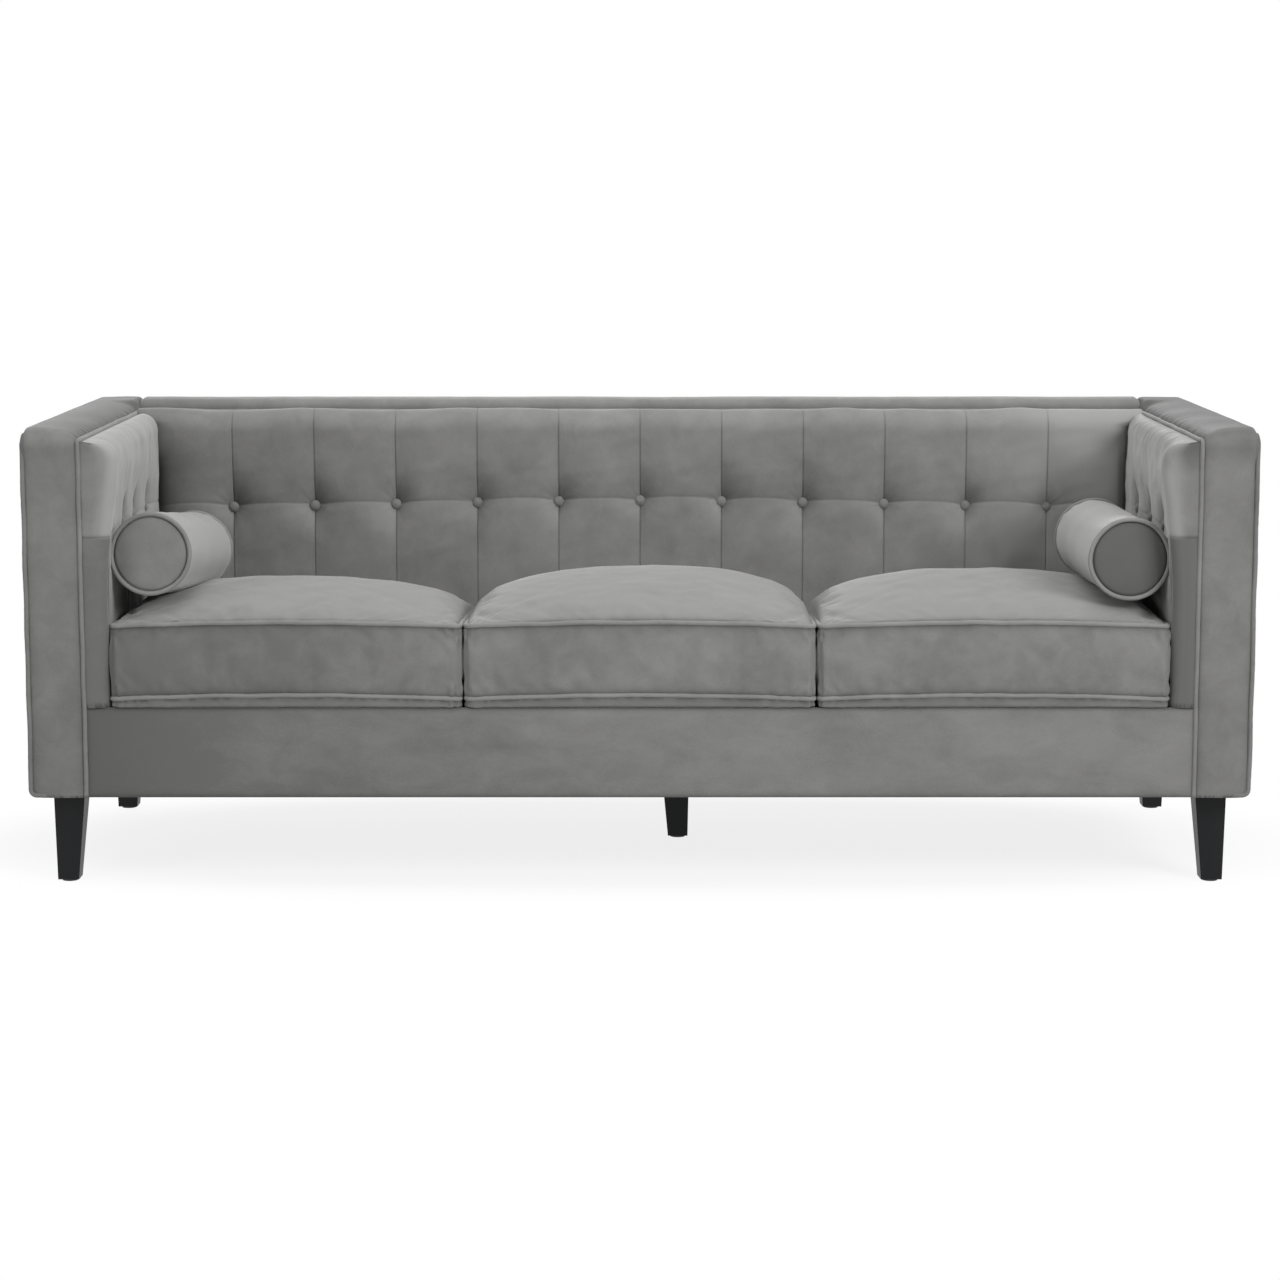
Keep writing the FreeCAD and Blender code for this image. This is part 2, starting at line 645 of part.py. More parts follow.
def make_pads():
    pitch = size("tuft_pitch")
    count = int(size("tuft_columns"))
    wrap = at("arm_slab_x") - at("cover_edge_x")
    back_wrap = at("back_piping_y") - at("piping_radius") - at("back_slab_y")
    back = Side(at("back_slab_y"), "back", (size("back_quilt_depth"), back_wrap))
    back_seams = [(index - count / 2) * pitch for index in range(count + 1)]
    back_depth = at("frame_inner_y") - at("back_slab_y")
    holes, buttons, ties = make_pad("back", back, back_seams, size("back_seam_dip"),
                                    size("back_button_dip"), back_depth)
    strips = webbing_strips(back, back_seams, back_depth, at("back_tack_bottom"))
    slab = Part.makeBox(2 * at("arm_slab_x"), back_depth - size("webbing_thickness"),
                        at("slab_top") - back.low(0), Vector(-at("arm_slab_x"), at("back_slab_y"), back.low(0)))
    node(feature("BackSlab", slab.cut(holes)), "back_foam_slab")
    arm_depth = at("frame_inner_x") - at("arm_slab_x")
    rear_end = at("back_pad_y") + size("back_seam_dip") - size("corner_clearance")
    for word, sign in (("left", -1), ("right", 1)):
        side = Side(at("arm_slab_x"), word, (size("arm_quilt_depth"), -wrap))
        first = at("front_y") + size(word + "_first_tuft")
        seams = [at("slab_front")]
        seams += [first + step * size(word + "_tuft_pitch") for step in range(int(size("arm_tufts")))]
        seams.append(rear_end)
        arm_holes, arm_buttons, arm_ties = make_pad(
            word + "_arm", side, seams, size("arm_seam_dip"), size("arm_button_dip"),
            arm_depth, arm_front_cap)
        buttons += arm_buttons
        ties += arm_ties
        strips += webbing_strips(side, seams, arm_depth, at("tack_rail_bottom"))
        thickness = arm_depth - size("webbing_thickness")
        start_x = at("arm_slab_x") if sign > 0 else -at("arm_slab_x") - thickness
        arm_slab = Part.makeBox(thickness, at("back_piping_y") - at("slab_front"),
                                at("slab_top") - at("quilt_bottom"),
                                Vector(start_x, at("slab_front"), at("quilt_bottom")))
        node(feature(word + "ArmSlab", arm_slab.cut(arm_holes)), word + "_arm_foam_slab")
    group("tufting_buttons", [feature(f"Button{i}", shape) for i, shape in enumerate(buttons)])
    group("button_ties", [feature(f"Tie{i}", shape) for i, shape in enumerate(ties)])
    group("pad_webbing", [feature(f"Strip{i}", shape) for i, shape in enumerate(strips)])


def webbing_strips(side, seams, back_depth, bottom):
    """Upright strips behind a foam slab, one behind each column, stapled to the rails."""
    strips = []
    thickness, width = size("webbing_thickness"), size("webbing_width")
    for start, end in zip(seams, seams[1:]):
        along = (start + end) / 2
        low = side.point(along - width / 2, -back_depth, bottom)
        high = side.point(along + width / 2, thickness - back_depth, at("frame_top"))
        corner = Vector(min(low.x, high.x), min(low.y, high.y), low.z)
        strips.append(Part.makeBox(abs(high.x - low.x), abs(high.y - low.y), high.z - low.z, corner))
    return strips


# Outside covers
def band_profile(length_axis, start, end, low, high, base, edge, rise):
    """A band with an upright edge on both sides and a domed top, run along one axis."""
    middle = (low + high) / 2

    def point(across, z):
        return Vector(start, across, z) if length_axis == "x" else Vector(across, start, z)
    wire = Part.Wire([
        Part.LineSegment(point(low, base), point(high, base)).toShape(),
        Part.LineSegment(point(high, base), point(high, edge)).toShape(),
        Part.Arc(point(high, edge), point(middle, edge + rise), point(low, edge)).toShape(),
        Part.LineSegment(point(low, edge), point(low, base)).toShape(),
    ])
    run = Vector(end - start, 0, 0) if length_axis == "x" else Vector(0, end - start, 0)
    return Part.Face(wire).extrude(run)


def make_covers():
    arm_height, rise = size("arm_height"), size("band_rise")
    panel_top = "arm_height - piping_radius"
    for side, word in ((-1, "left"), (1, "right")):
        x = mirrored(side, "frame_x", "frame_x + panel_thickness")
        node(board(word + "OutsidePanel", x,
                   ("front_piping_y + piping_turn", "frame_rear - 1"), ("leg_height", panel_top)),
             word + "_outside_arm_panel")
        low, high = sorted((side * at("band_inner_x"), side * at("band_outer_x")))
        rear = at("rear_piping_y") - size("piping_turn")
        band = band_profile("y", at("band_front"), rear, low, high, at("frame_top"), arm_height, rise)
        node(feature(word + "TopBand", band), word + "_arm_top_band")
        make_arm_front(side, word)
    back = band_profile("x", -at("band_inner_x"), at("band_inner_x"), at("band_back_front"), at("band_rear"),
                        at("frame_top"), arm_height, rise)
    node(feature("BackTopBand", back), "back_top_band")
    node(board("OutsideBack", ("-band_outer_x", "band_outer_x"),
               ("frame_rear", "frame_rear + panel_thickness"), ("leg_height", panel_top)), "outside_back_panel")
    node(board("RailCover", ("-cover_edge_x", "cover_edge_x"),
               ("frame_front - panel_thickness", "frame_front"), ("leg_height", "deck_height")), "front_rail_cover")


def make_arm_front(side, word):
    """The front of an arm band, with its lower outer corner rounded."""
    body = doc.addObject("PartDesign::Body", word + "ArmFront")
    sketch = new_sketch(body, word + "ArmFrontOutline", "XZ_Plane", "-frame_front")
    hem_top = "leg_height + piping_diameter"
    draw_rectangle(sketch, *mirrored(side, "band_inner_x", "band_outer_x"), hem_top, "frame_top")
    pad = body.newObject("PartDesign::Pad", word + "ArmFrontPad")
    pad.Profile = sketch
    pad.setExpression("Length", formula("panel_thickness"))
    doc.recompute()
    corner = Vector(side * at("band_outer_x"), 0, size("leg_height") + size("piping_diameter"))
    edge_number = None
    for number, edge in enumerate(pad.Shape.Edges, start=1):
        middle = edge.CenterOfMass
        upright = abs(edge.BoundBox.YLength - size("panel_thickness")) < 0.01
        if upright and abs(middle.x - corner.x) < 0.01 and abs(middle.z - corner.z) < 0.01:
            edge_number = number
    fillet = body.newObject("PartDesign::Fillet", word + "ArmFrontCorner")
    fillet.Base = (pad, [f"Edge{edge_number}"])
    fillet.setExpression("Radius", formula("bottom_turn"))
    doc.recompute()
    if fillet.Shape.Volume >= pad.Shape.Volume:
        raise RuntimeError("the arm front's corner wasn't rounded")
    # below the rounding, the cover runs on inwards from where the piping ends
    hem_sketch = new_sketch(body, word + "HemOutline", "XZ_Plane", "-frame_front")
    draw_rectangle(hem_sketch, *mirrored(side, "band_inner_x", "piping_end_x"), "leg_height", hem_top)
    hem = body.newObject("PartDesign::Pad", word + "HemPad")
    hem.Profile = hem_sketch
    hem.setExpression("Length", formula("panel_thickness"))
    return node(body, word + "_arm_front_panel")


# Piping
def tube(edges, radius):
    """A round cord along straight runs joined by tangent arcs."""
    path = Part.Wire(edges)
    start = path.Edges[0].valueAt(path.Edges[0].FirstParameter)
    direction = path.Edges[0].tangentAt(path.Edges[0].FirstParameter)
    ring = Part.Wire([Part.Circle(start, direction, radius).toShape()])
    solid = path.makePipeShell([ring], True, False)
    expected = math.pi * radius ** 2 * path.Length
    if abs(solid.Volume / expected - 1) > 0.01:
        raise RuntimeError("a piping's volume isn't its section times its length")
    return solid


def run_with_turns(points, turns):
    """Edges through a list of corners, each corner taken by an arc of its own radius."""
    edges = []
    last = points[0]
    for before, corner, after, turn in zip(points, points[1:], points[2:], turns):
        into = (corner - before).normalize()
        out = (after - corner).normalize()
        reach = turn * math.tan(into.getAngle(out) / 2)
        start = corner - into * reach
        end = corner + out * reach
        centre = corner + (out - into).normalize() * (turn / math.cos(into.getAngle(out) / 2))
        middle = centre + (corner - centre).normalize() * turn
        edges.append(Part.LineSegment(last, start).toShape())
        edges.append(Part.Arc(start, middle, end).toShape())
        last = end
    edges.append(Part.LineSegment(last, points[-1]).toShape())
    return edges


def make_piping():
    radius = at("piping_radius")
    turn = size("piping_turn")
    seam = size("arm_height")
    foot = size("leg_height") + radius
    front = at("front_piping_y")
    half = []
    for side in (-1, 1):
        x = side * at("outer_piping_x")
        half.append([Vector(side * at("piping_end_x"), front, foot), Vector(x, front, foot), Vector(x, front, seam),
                     Vector(x, at("rear_piping_y"), seam)])
    low_turn = size("bottom_turn") + radius
    outer = run_with_turns(half[0] + half[1][::-1], [low_turn, turn, turn, turn, turn, low_turn])
    node(feature("OuterPiping", tube(outer, radius)), "outer_piping")
    half = []
    for side in (-1, 1):
        x = side * at("inner_piping_x")
        half.append([Vector(x, front, size("leg_height")), Vector(x, front, seam),
                     Vector(x, at("back_piping_y"), seam)])
    inner = run_with_turns(half[0] + half[1][::-1], [turn] * 4)
    node(feature("InnerPiping", tube(inner, radius)), "inner_piping")
    print("piping bends: radius", turn, "and", low_turn, "tube radius", radius)


# Loose cushions
def rounded_outline(z, half_x, half_y, corner):
    """A rectangle with round corners at one height."""
    corner = min(corner, half_x * 0.9, half_y * 0.9)
    diagonal = corner * (1 - math.sqrt(0.5))
    edges = []
    for quarter in range(4):
        # the same corner turned by quarter turns: along X first, then along Y
        sx, sy = ((1, -1), (1, 1), (-1, 1), (-1, -1))[quarter]
        if quarter % 2 == 0:
            start = Vector(sx * (half_x - corner), sy * half_y, z)
            end = Vector(sx * half_x, sy * (half_y - corner), z)
        else:
            start = Vector(sx * half_x, sy * (half_y - corner), z)
            end = Vector(sx * (half_x - corner), sy * half_y, z)
        middle = Vector(sx * (half_x - diagonal), sy * (half_y - diagonal), z)
        if edges:
            edges.append(Part.LineSegment(edges[-1].Vertexes[-1].Point, start).toShape())
        edges.append(Part.Arc(start, middle, end).toShape())
    edges.append(Part.LineSegment(end, edges[0].Vertexes[0].Point).toShape())
    return Part.Wire(edges)


def crown_spread(share, bulge, steepness):
    """How far out, as a share of the half width, a crown still has this share of its height."""
    return (1 - share ** (1 / steepness)) ** (1 / bulge)


def cushion_form(rise, inset):
    """Boxed cushion body: rounded underside, sides drawn in between the pipings, crowned top."""
    half_x = at("cushion_half_x") - at("piping_radius") + size("piping_sink") - inset
    half_y = at("cushion_half_y") - at("piping_radius") + size("piping_sink") - inset
    edge, low = size("cushion_edge"), size("cushion_low_edge")
    corner, draw, rounding = size("cushion_corner"), size("cushion_draw_in"), size("cushion_rounding")
    underside = Part.makeLoft([
        rounded_outline(inset, half_x - rounding, half_y - rounding, corner * 0.7),
        rounded_outline(low * 0.3 + inset / 2, half_x - rounding * 0.3, half_y - rounding * 0.3, corner * 0.9),
        rounded_outline(low, half_x, half_y, corner)], True, False)
    sides = Part.makeLoft([
        rounded_outline(low, half_x, half_y, corner),
        rounded_outline((low + edge) / 2, half_x - draw, half_y - draw, corner * 0.9),
        rounded_outline(edge, half_x, half_y, corner)], True, False)
    levels = []
    for share in (0, 0.35, 0.65, 0.88, 1):
        # the topmost level is a small flat, not a point
        level = min(share, 1 - size("crown_flat"))
        wide = crown_spread(level, size("crown_bulge_x"), size("crown_steepness_x"))
        deep = crown_spread(level, size("crown_bulge_y"), size("crown_steepness_y"))
        reach_x, reach_y = half_x * wide, half_y * deep
        turn = corner + (1 - deep) * (reach_y * 0.8 - corner)
        levels.append(rounded_outline(edge + (rise - inset) * share, reach_x, reach_y, turn))
    crown = Part.makeLoft(levels, True, False)
    return underside.fuse([sides, crown])


def cushion_piping(height):
    radius = at("piping_radius")
    half_x = at("cushion_half_x") - radius
    half_y = at("cushion_half_y") - radius
    path = rounded_outline(height, half_x, half_y, size("cushion_corner") - size("piping_sink"))
    start = path.Edges[0].valueAt(path.Edges[0].FirstParameter)
    direction = path.Edges[0].tangentAt(path.Edges[0].FirstParameter)
    ring = Part.Wire([Part.Circle(start, direction, radius).toShape()])
    return path.makePipeShell([ring], True, False)


def cushion_placement(step):
    """A cushion lies on the deck and leans back with it."""
    return Placement(Vector(step * at("cushion_pitch"), at("cushion_y"), at("cushion_z")),
                     Rotation(Vector(1, 0, 0), -size("seat_slope")))


def crown_top(word, x, y):
    """Height above the floor of a side cushion's crown at a place in plan."""
    across = min(1, abs(x - at("cushion_pitch")) / at("cushion_half_x"))
    along = min(1, abs(y - at("cushion_y")) / at("cushion_half_y"))
    share = (1 - across ** size("crown_bulge_x")) ** size("crown_steepness_x")
    share *= (1 - along ** size("crown_bulge_y")) ** size("crown_steepness_y")
    slope = math.tan(math.radians(size("seat_slope")))
    return at("cushion_z") + size("cushion_edge") - slope * (y - at("cushion_y")) + size(word + "_crown") * share


def bolster_placement(word):
    """Middle and direction of a bolster's axis, held off the arm pad and sunk into the crown."""
    sign = -1 if word == "left" else 1
    tilt = math.radians(size(word + "_bolster_tilt"))
    turn = math.radians(size(word + "_bolster_turn"))
    radius = size("bolster_diameter") / 2
    half = size("bolster_length") / 2
    x = at("arm_pad_x") - size("bolster_gap") - radius - half * math.sin(turn)
    y = at("front_y") + size("bolster_setback") + half
    z = crown_top(word, x, y) - size(word + "_bolster_sink") + radius - size("bolster_piping_proud")
    direction = Vector(-sign * math.sin(turn), math.cos(turn) * math.cos(tilt), -math.sin(tilt))
    return Placement(Vector(sign * x, y, z), Rotation(Vector(0, 0, 1), direction))


def bolster_space(word, grow):
    """The room that a bolster needs in the crown: its body, with a wider stretch at each piping."""
    radius = size("bolster_diameter") / 2 + size("seat_clearance") + grow
    half = size("bolster_length") / 2 + size("seat_clearance") + grow
    ring = size("bolster_puff") + size("piping_diameter") + size("seat_clearance") + grow
    body = Part.makeCylinder(radius - size("bolster_piping_proud"), 2 * half, Vector(0, 0, -half))
    ends = [Part.makeCylinder(radius, ring, Vector(0, 0, start)) for start in (-half, half - ring)]
    space = body.fuse(ends)
    space.Placement = bolster_placement(word)
    return space


def make_cushions():
    cushions = (("left", -1), ("centre", 0), ("right", 1))
    for word, step in cushions:
        rise = size(word + "_crown")
        wall, gap = size("cover_thickness"), size("core_clearance")
        matrix = cushion_placement(step).toMatrix()
        pieces = {}
        for inset in (0, wall, wall + gap):
            form = cushion_form(rise, inset)
            form.transformShape(matrix)
            pieces[inset] = form
        pipings = []
        for height in (size("cushion_low_edge"), size("cushion_edge")):
            cord = cushion_piping(height)
            cord.transformShape(matrix)
            pipings.append(cord)
        outside = pieces[0].fuse(pipings)
        if step:
            outside = outside.cut(bolster_space(word, 0))
            pieces[wall] = pieces[wall].cut(bolster_space(word, wall))
            pieces[wall + gap] = pieces[wall + gap].cut(bolster_space(word, wall + gap))
        node(feature(word + "CushionCover", outside.cut(pieces[wall])), word + "_cushion_cover")
        node(feature(word + "CushionCore", pieces[wall + gap]), word + "_cushion_core")


# Bolsters
def bolster_outline(inset, piping):
    """Edges from one end of the axis to the other: bulging ends, a piping ring at each, a straight body."""
    puff = size("bolster_puff")
    half = size("bolster_length") / 2 - inset
    outer = size("bolster_diameter") / 2
    radius = outer - size("bolster_piping_proud") - inset
    shoulder = size("bolster_length") / 2 - puff - inset
    ring = piping / 2
    edges = []
    for end in (1, -1):
        tip = Vector(0, 0, end * half)
        bulge = Vector(radius * 0.6, 0, end * (half - puff * 0.3))
        rim = Vector(radius, 0, end * shoulder)
        below = Vector(radius, 0, end * (shoulder - 2 * ring))
        crest = Vector(outer, 0, end * (shoulder - ring))
        side = [Part.Arc(tip, bulge, rim).toShape()]
        if ring:
            side.append(Part.Arc(rim, crest, below).toShape())
        edges.append(side)
    first_end, second_end = edges[0][-1].Vertexes, edges[1][-1].Vertexes
    body = Part.LineSegment(first_end[-1].Point, second_end[-1].Point).toShape()
    return edges[0] + [body] + edges[1][::-1]


def bolster_solid(outlines):
    """Turn one closed outline, or the room between two, about the axis."""
    edges = []
    for outline in outlines:
        edges += outline
    tips = [Vector(0, 0, sign * size("bolster_length") / 2) for sign in (1, -1)]
    if len(outlines) == 2:
        wall = Vector(0, 0, size("cover_thickness"))
        edges.append(Part.LineSegment(tips[0], tips[0] - wall).toShape())
        edges.append(Part.LineSegment(tips[1], tips[1] + wall).toShape())
    else:
        inset = Vector(0, 0, size("cover_thickness") + size("core_clearance"))
        edges.append(Part.LineSegment(tips[0] - inset, tips[1] + inset).toShape())
    profile = Part.Wire(Part.__sortEdges__(edges))
    return Part.Face(profile).revolve(Vector(0, 0, 0), Vector(0, 0, 1), 360)


def make_bolsters():
    wall = size("cover_thickness")
    for word in ("left", "right"):
        place = bolster_placement(word)
        cover = bolster_solid([bolster_outline(0, size("piping_diameter")), bolster_outline(wall, 0)])
        fill = bolster_solid([bolster_outline(wall + size("core_clearance"), 0)])
        for kind, shape in (("cover", cover), ("fill", fill)):
            obj = feature(f"{word}Bolster{kind}", shape)
            obj.Placement = place
            node(obj, f"{word}_bolster_{kind}")


make_frame()
make_legs()
make_dust_cover()
make_springs()
make_deck()
make_pads()
make_covers()
make_piping()
make_cushions()
make_bolsters()
doc.recompute()

# Check every object and every piece before anything is written
for obj in doc.Objects:
    if "Invalid" in obj.State or "Error" in obj.State:
        raise RuntimeError(f"{obj.Name} didn't compute: {obj.State}")
for obj in nodes:
    if obj.Shape.isNull() or not obj.Shape.isValid() or not obj.Shape.Solids:
        raise RuntimeError(f"{obj.Label} has no valid solid")

os.makedirs("parts", exist_ok=True)
for obj in nodes:
    obj.Shape.exportStep(os.path.join("parts", obj.Label + ".step"))
    print(f"{obj.Label}: {len(obj.Shape.Solids)} solid, {obj.Shape.Volume / 1000:.1f} cm3")
print(len(nodes), "nodes")
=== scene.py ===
# Looks of a tufted three-seat sofa in grey velvet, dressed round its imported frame.
# Metres: X to the right seen from the front, Y to the rear, Z up.
import json
from math import cos, pi, radians, sin, tan

import bmesh
import bpy
import numpy as np
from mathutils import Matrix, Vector


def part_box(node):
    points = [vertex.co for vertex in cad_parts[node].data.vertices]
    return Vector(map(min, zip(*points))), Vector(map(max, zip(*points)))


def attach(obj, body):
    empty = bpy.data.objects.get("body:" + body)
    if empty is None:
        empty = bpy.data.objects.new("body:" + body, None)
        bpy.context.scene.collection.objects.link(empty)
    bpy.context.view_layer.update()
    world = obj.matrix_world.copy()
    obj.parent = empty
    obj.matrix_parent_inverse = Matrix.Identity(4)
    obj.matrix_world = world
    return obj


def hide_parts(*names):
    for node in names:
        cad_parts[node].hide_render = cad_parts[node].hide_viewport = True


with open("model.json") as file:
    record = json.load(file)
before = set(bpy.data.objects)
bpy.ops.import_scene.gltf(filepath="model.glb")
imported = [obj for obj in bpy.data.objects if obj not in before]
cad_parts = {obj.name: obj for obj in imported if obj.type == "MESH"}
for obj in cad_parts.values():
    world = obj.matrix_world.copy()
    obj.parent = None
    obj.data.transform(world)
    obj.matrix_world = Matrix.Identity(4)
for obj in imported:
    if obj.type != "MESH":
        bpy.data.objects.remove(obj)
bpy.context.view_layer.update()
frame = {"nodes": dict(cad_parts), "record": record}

sides = ((-1, "left"), (1, "right"))
hair = 0.001  # keeps two things apart that would lie in one place


def span(node):
    # the two far corners of a node's box
    low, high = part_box(node)
    return np.array(low), np.array(high)


# The cord in every piping; askew is a direction that no piping runs in, and hidden how much of its radius
# the pads reach under it
cord = {"radius": 0.004, "sides": 14, "step": 0.005, "gather": 0.03, "gatherLength": 0.013,
        "wander": (0.0005, 0.09), "lean": 0.3, "askew": (0.58, 0.55, 0.6), "hidden": 0.6}

# Places read from the frame
outerLow, outerHigh = span("outer_piping")
innerHigh = span("inner_piping")[1]
sideX = outerHigh[0] - cord["radius"]  # the centre lines of the outer piping, then of the inner one
frontY = outerLow[1] + cord["radius"]
rearY = outerHigh[1] - cord["radius"]
seamZ = outerHigh[2] - cord["radius"]
padX = innerHigh[0] - cord["radius"]
backY = innerHigh[1] - cord["radius"]
hemZ = outerLow[2]
crestZ = span("back_top_band")[1][2]
deckLow, deckHigh = span("deck_pad")
print("frame loaded:", len(frame["nodes"]), "nodes")


# Shape functions, all on whole arrays
def smooth(start, end, value):
    # 0 before start, 1 after end, an S curve between them
    t = np.clip((value - start) / (end - start), 0, 1)
    return t * t * (3 - 2 * t)


def bell(value, width):
    # 1 at zero and falling away like a bell on both sides
    return np.exp(-(value / width) ** 2)


def fading(distance, reach, power=1):
    # 1 at zero and about a third at the reach; a higher power keeps it full for longer
    return np.exp(-(distance / reach) ** power)


def rounding(distance, reach, power):
    # 0 at an edge and 1 from the reach on, with a round shoulder between them
    return 1 - (1 - np.clip(distance / reach, 0, 1)) ** power


def ripple(points, length, seed, count=12, spread=(0.7, 1.5)):
    # sum of plane sine waves of random direction and phase, with lengths near the given one
    rng = np.random.default_rng(seed)
    directions = rng.normal(size=(count, points.shape[-1]))
    directions /= np.linalg.norm(directions, axis=1, keepdims=True)
    scales = 2 * pi / (length * rng.uniform(*spread, count))
    phases = rng.uniform(0, 2 * pi, count)
    return np.sin(points @ (directions * scales[:, None]).T + phases).sum(-1) / np.sqrt(count)


def waves(points, look, seed):
    # ripples of a height and a length, which look gives
    return look[0] * ripple(points, look[1], seed)


def joined(*parts):
    # coordinates that broadcast together, as one grid of points
    return np.stack(np.broadcast_arrays(*parts), axis=-1)


def crowd(count, power):
    # samples from -1 to 1 that crowd towards both ends: 1 less a power of the distance from the end
    t = np.linspace(-1, 1, count)
    return np.sign(t) * (1 - (1 - np.abs(t)) ** power)


def shares(count, power):
    # the same samples from 0 to 1
    return (crowd(count, power) + 1) / 2


def settling(count, power):
    # samples from 0 to 1 that crowd towards the end only
    return 1 - (1 - np.linspace(0, 1, count)) ** power


def surfaceNormals(points, outward):
    # cross product of the two directions of the grid, turned to the side that outward names
    normals = np.cross(np.gradient(points, axis=0), np.gradient(points, axis=1))
    normals /= np.linalg.norm(normals, axis=-1, keepdims=True) + 1e-12
    return normals * np.sign((normals * outward).sum(-1).mean())


def tangents(path, closed):
    # central differences along the path, made unit length
    if closed:
        steps = np.roll(path, -1, 0) - np.roll(path, 1, 0)
    else:
        steps = np.gradient(path, axis=0)
    return steps / np.linalg.norm(steps, axis=1, keepdims=True)


def roundedPath(corners, turns, step, arcFineness=3, leastStep=0.2):
    # straight runs between corners, each corner replaced by an arc of its own radius, with even steps;
    # arcs have finer steps, and a point nearer than the least share of a step is left out
    corners = np.array(corners, float)
    pieces = []
    for index, (corner, turn) in enumerate(zip(corners, turns)):
        if turn == 0:
            pieces.append(corner[None])
            continue
        into = corner - corners[index - 1]
        out = corners[index + 1] - corner
        into, out = into / np.linalg.norm(into), out / np.linalg.norm(out)
        angle = np.arccos(np.clip(into @ out, -1, 1))
        reach = turn * tan(angle / 2)
        t = np.linspace(0, angle, max(4, int(turn * angle / step * arcFineness)))[:, None]
        pieces.append(corner - into * reach + into * turn * np.sin(t)
                      + (out - into * (into @ out)) / sin(angle) * turn * (1 - np.cos(t)))
    points = np.concatenate(pieces)
    lengths = np.concatenate([[0], np.cumsum(np.linalg.norm(np.diff(points, axis=0), axis=1))])
    even = np.linspace(0, lengths[-1], int(lengths[-1] / step) + 1)
    every = np.unique(np.concatenate([even, lengths]))
    every = every[np.concatenate([[True], np.diff(every) > step * leastStep])]
    return np.stack([np.interp(every, lengths, points[:, axis]) for axis in range(3)], axis=1)


def tubeGrids(path, radius, closed, seed, pile=cord["lean"]):
    # a circle carried along the path; its radius swells a little where the cloth is gathered
    path = path + np.stack([waves(path, cord["wander"], seed + axis) for axis in range(3)], axis=1)
    along = tangents(path, closed)
    side = np.cross(along, cord["askew"])
    side /= np.linalg.norm(side, axis=1, keepdims=True)
    other = np.cross(along, side)
    angle = np.linspace(0, 2 * pi, cord["sides"] + 1)
    swell = radius * (1 + cord["gather"] * ripple(path, cord["gatherLength"], seed + 5))
    ring = side[:, None] * np.cos(angle)[:, None] + other[:, None] * np.sin(angle)[:, None]
    points = path[:, None] + ring * swell[:, None, None]
    points[:, -1] = points[:, 0]
    marks = {"lean": pile}
    if closed:
        points = np.concatenate([points, points[:1]])
        return [(points, marks)]
    caps = [np.stack([points[end], np.repeat(path[end][None], len(angle), 0)]) for end in (0, -1)]
    return [(points, marks)] + [(cap, marks) for cap in caps]


def shellGrids(outer, inner, marks):
    # an outer and an inner sheet with the same grid, joined by four narrow walls
    edges = [(slice(None), 0), (slice(None), -1), (0, slice(None)), (-1, slice(None))]
    walls = [(np.stack([outer[edge], inner[edge]]), {"seam": 1.0}) for edge in edges]
    return [(outer, marks), (inner, {})] + walls


# Making pieces
mergeDistance = 2e-6
attributeNames = ("seam", "hold", "lean")


def makeMesh(name, grids):
    # grids of points become quads; borders that meet are merged and the faces turned outwards
    points, faces, marks, start = [], [], {key: [] for key in attributeNames}, 0
    for grid, given in grids:
        rows, columns = grid.shape[:2]
        index = start + np.arange(rows * columns).reshape(rows, columns)
        quads = np.stack([index[:-1, :-1], index[1:, :-1], index[1:, 1:], index[:-1, 1:]], -1)
        faces.append(quads.reshape(-1, 4))
        points.append(grid.reshape(-1, 3))
        for key in attributeNames:
            marks[key].append(np.broadcast_to(given.get(key, 0.0), (rows, columns)).ravel())
        start += rows * columns
    points, faces = np.concatenate(points), np.concatenate(faces)
    mesh = bpy.data.meshes.new(name)
    mesh.vertices.add(len(points))
    mesh.vertices.foreach_set("co", points.astype(np.float32).ravel())
    mesh.loops.add(faces.size)
    mesh.loops.foreach_set("vertex_index", faces.ravel().astype(np.int32))
    mesh.polygons.add(len(faces))
    mesh.polygons.foreach_set("loop_start", np.arange(0, faces.size, 4, dtype=np.int32))
    mesh.update(calc_edges=True)
    for key in attributeNames:
        layer = mesh.attributes.new(key, "FLOAT", "POINT")
        layer.data.foreach_set("value", np.concatenate(marks[key]).astype(np.float32))
    work = bmesh.new()
    work.from_mesh(mesh)
    bmesh.ops.remove_doubles(work, verts=work.verts, dist=mergeDistance)
    bmesh.ops.recalc_face_normals(work, faces=work.faces)
    work.to_mesh(mesh)
    work.free()
    mesh.shade_smooth()
    return mesh


def addObject(name, data):
    # an object in the scene, at the origin
    made = bpy.data.objects.new(name, data)
    bpy.context.scene.collection.objects.link(made)
    return made


def addPiece(name, grids, replaced=(), body="sofa_frame", material=None):
    # grids made one piece that rides on a body, in velvet unless another material is given
    mesh = makeMesh(name, grids)
    mesh.materials.append(material or velvet)
    piece = addObject(name, mesh)
    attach(piece, body)
    if replaced:
        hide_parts(*replaced)
    return piece


def readPoints(mesh):
    # the mesh's points as rows of x, y and z
    values = np.empty(len(mesh.vertices) * 3, np.float32)
    mesh.vertices.foreach_get("co", values)
    return values.reshape(-1, 3).astype(float)


def readMark(mesh, key):
    # one attribute, a value for each point
    values = np.empty(len(mesh.vertices), np.float32)
    mesh.attributes[key].data.foreach_get("value", values)
    return values.astype(float)


def writePoints(mesh, points):
    # moves the mesh's points to new places
    mesh.vertices.foreach_set("co", points.astype(np.float32).ravel())
    mesh.update()


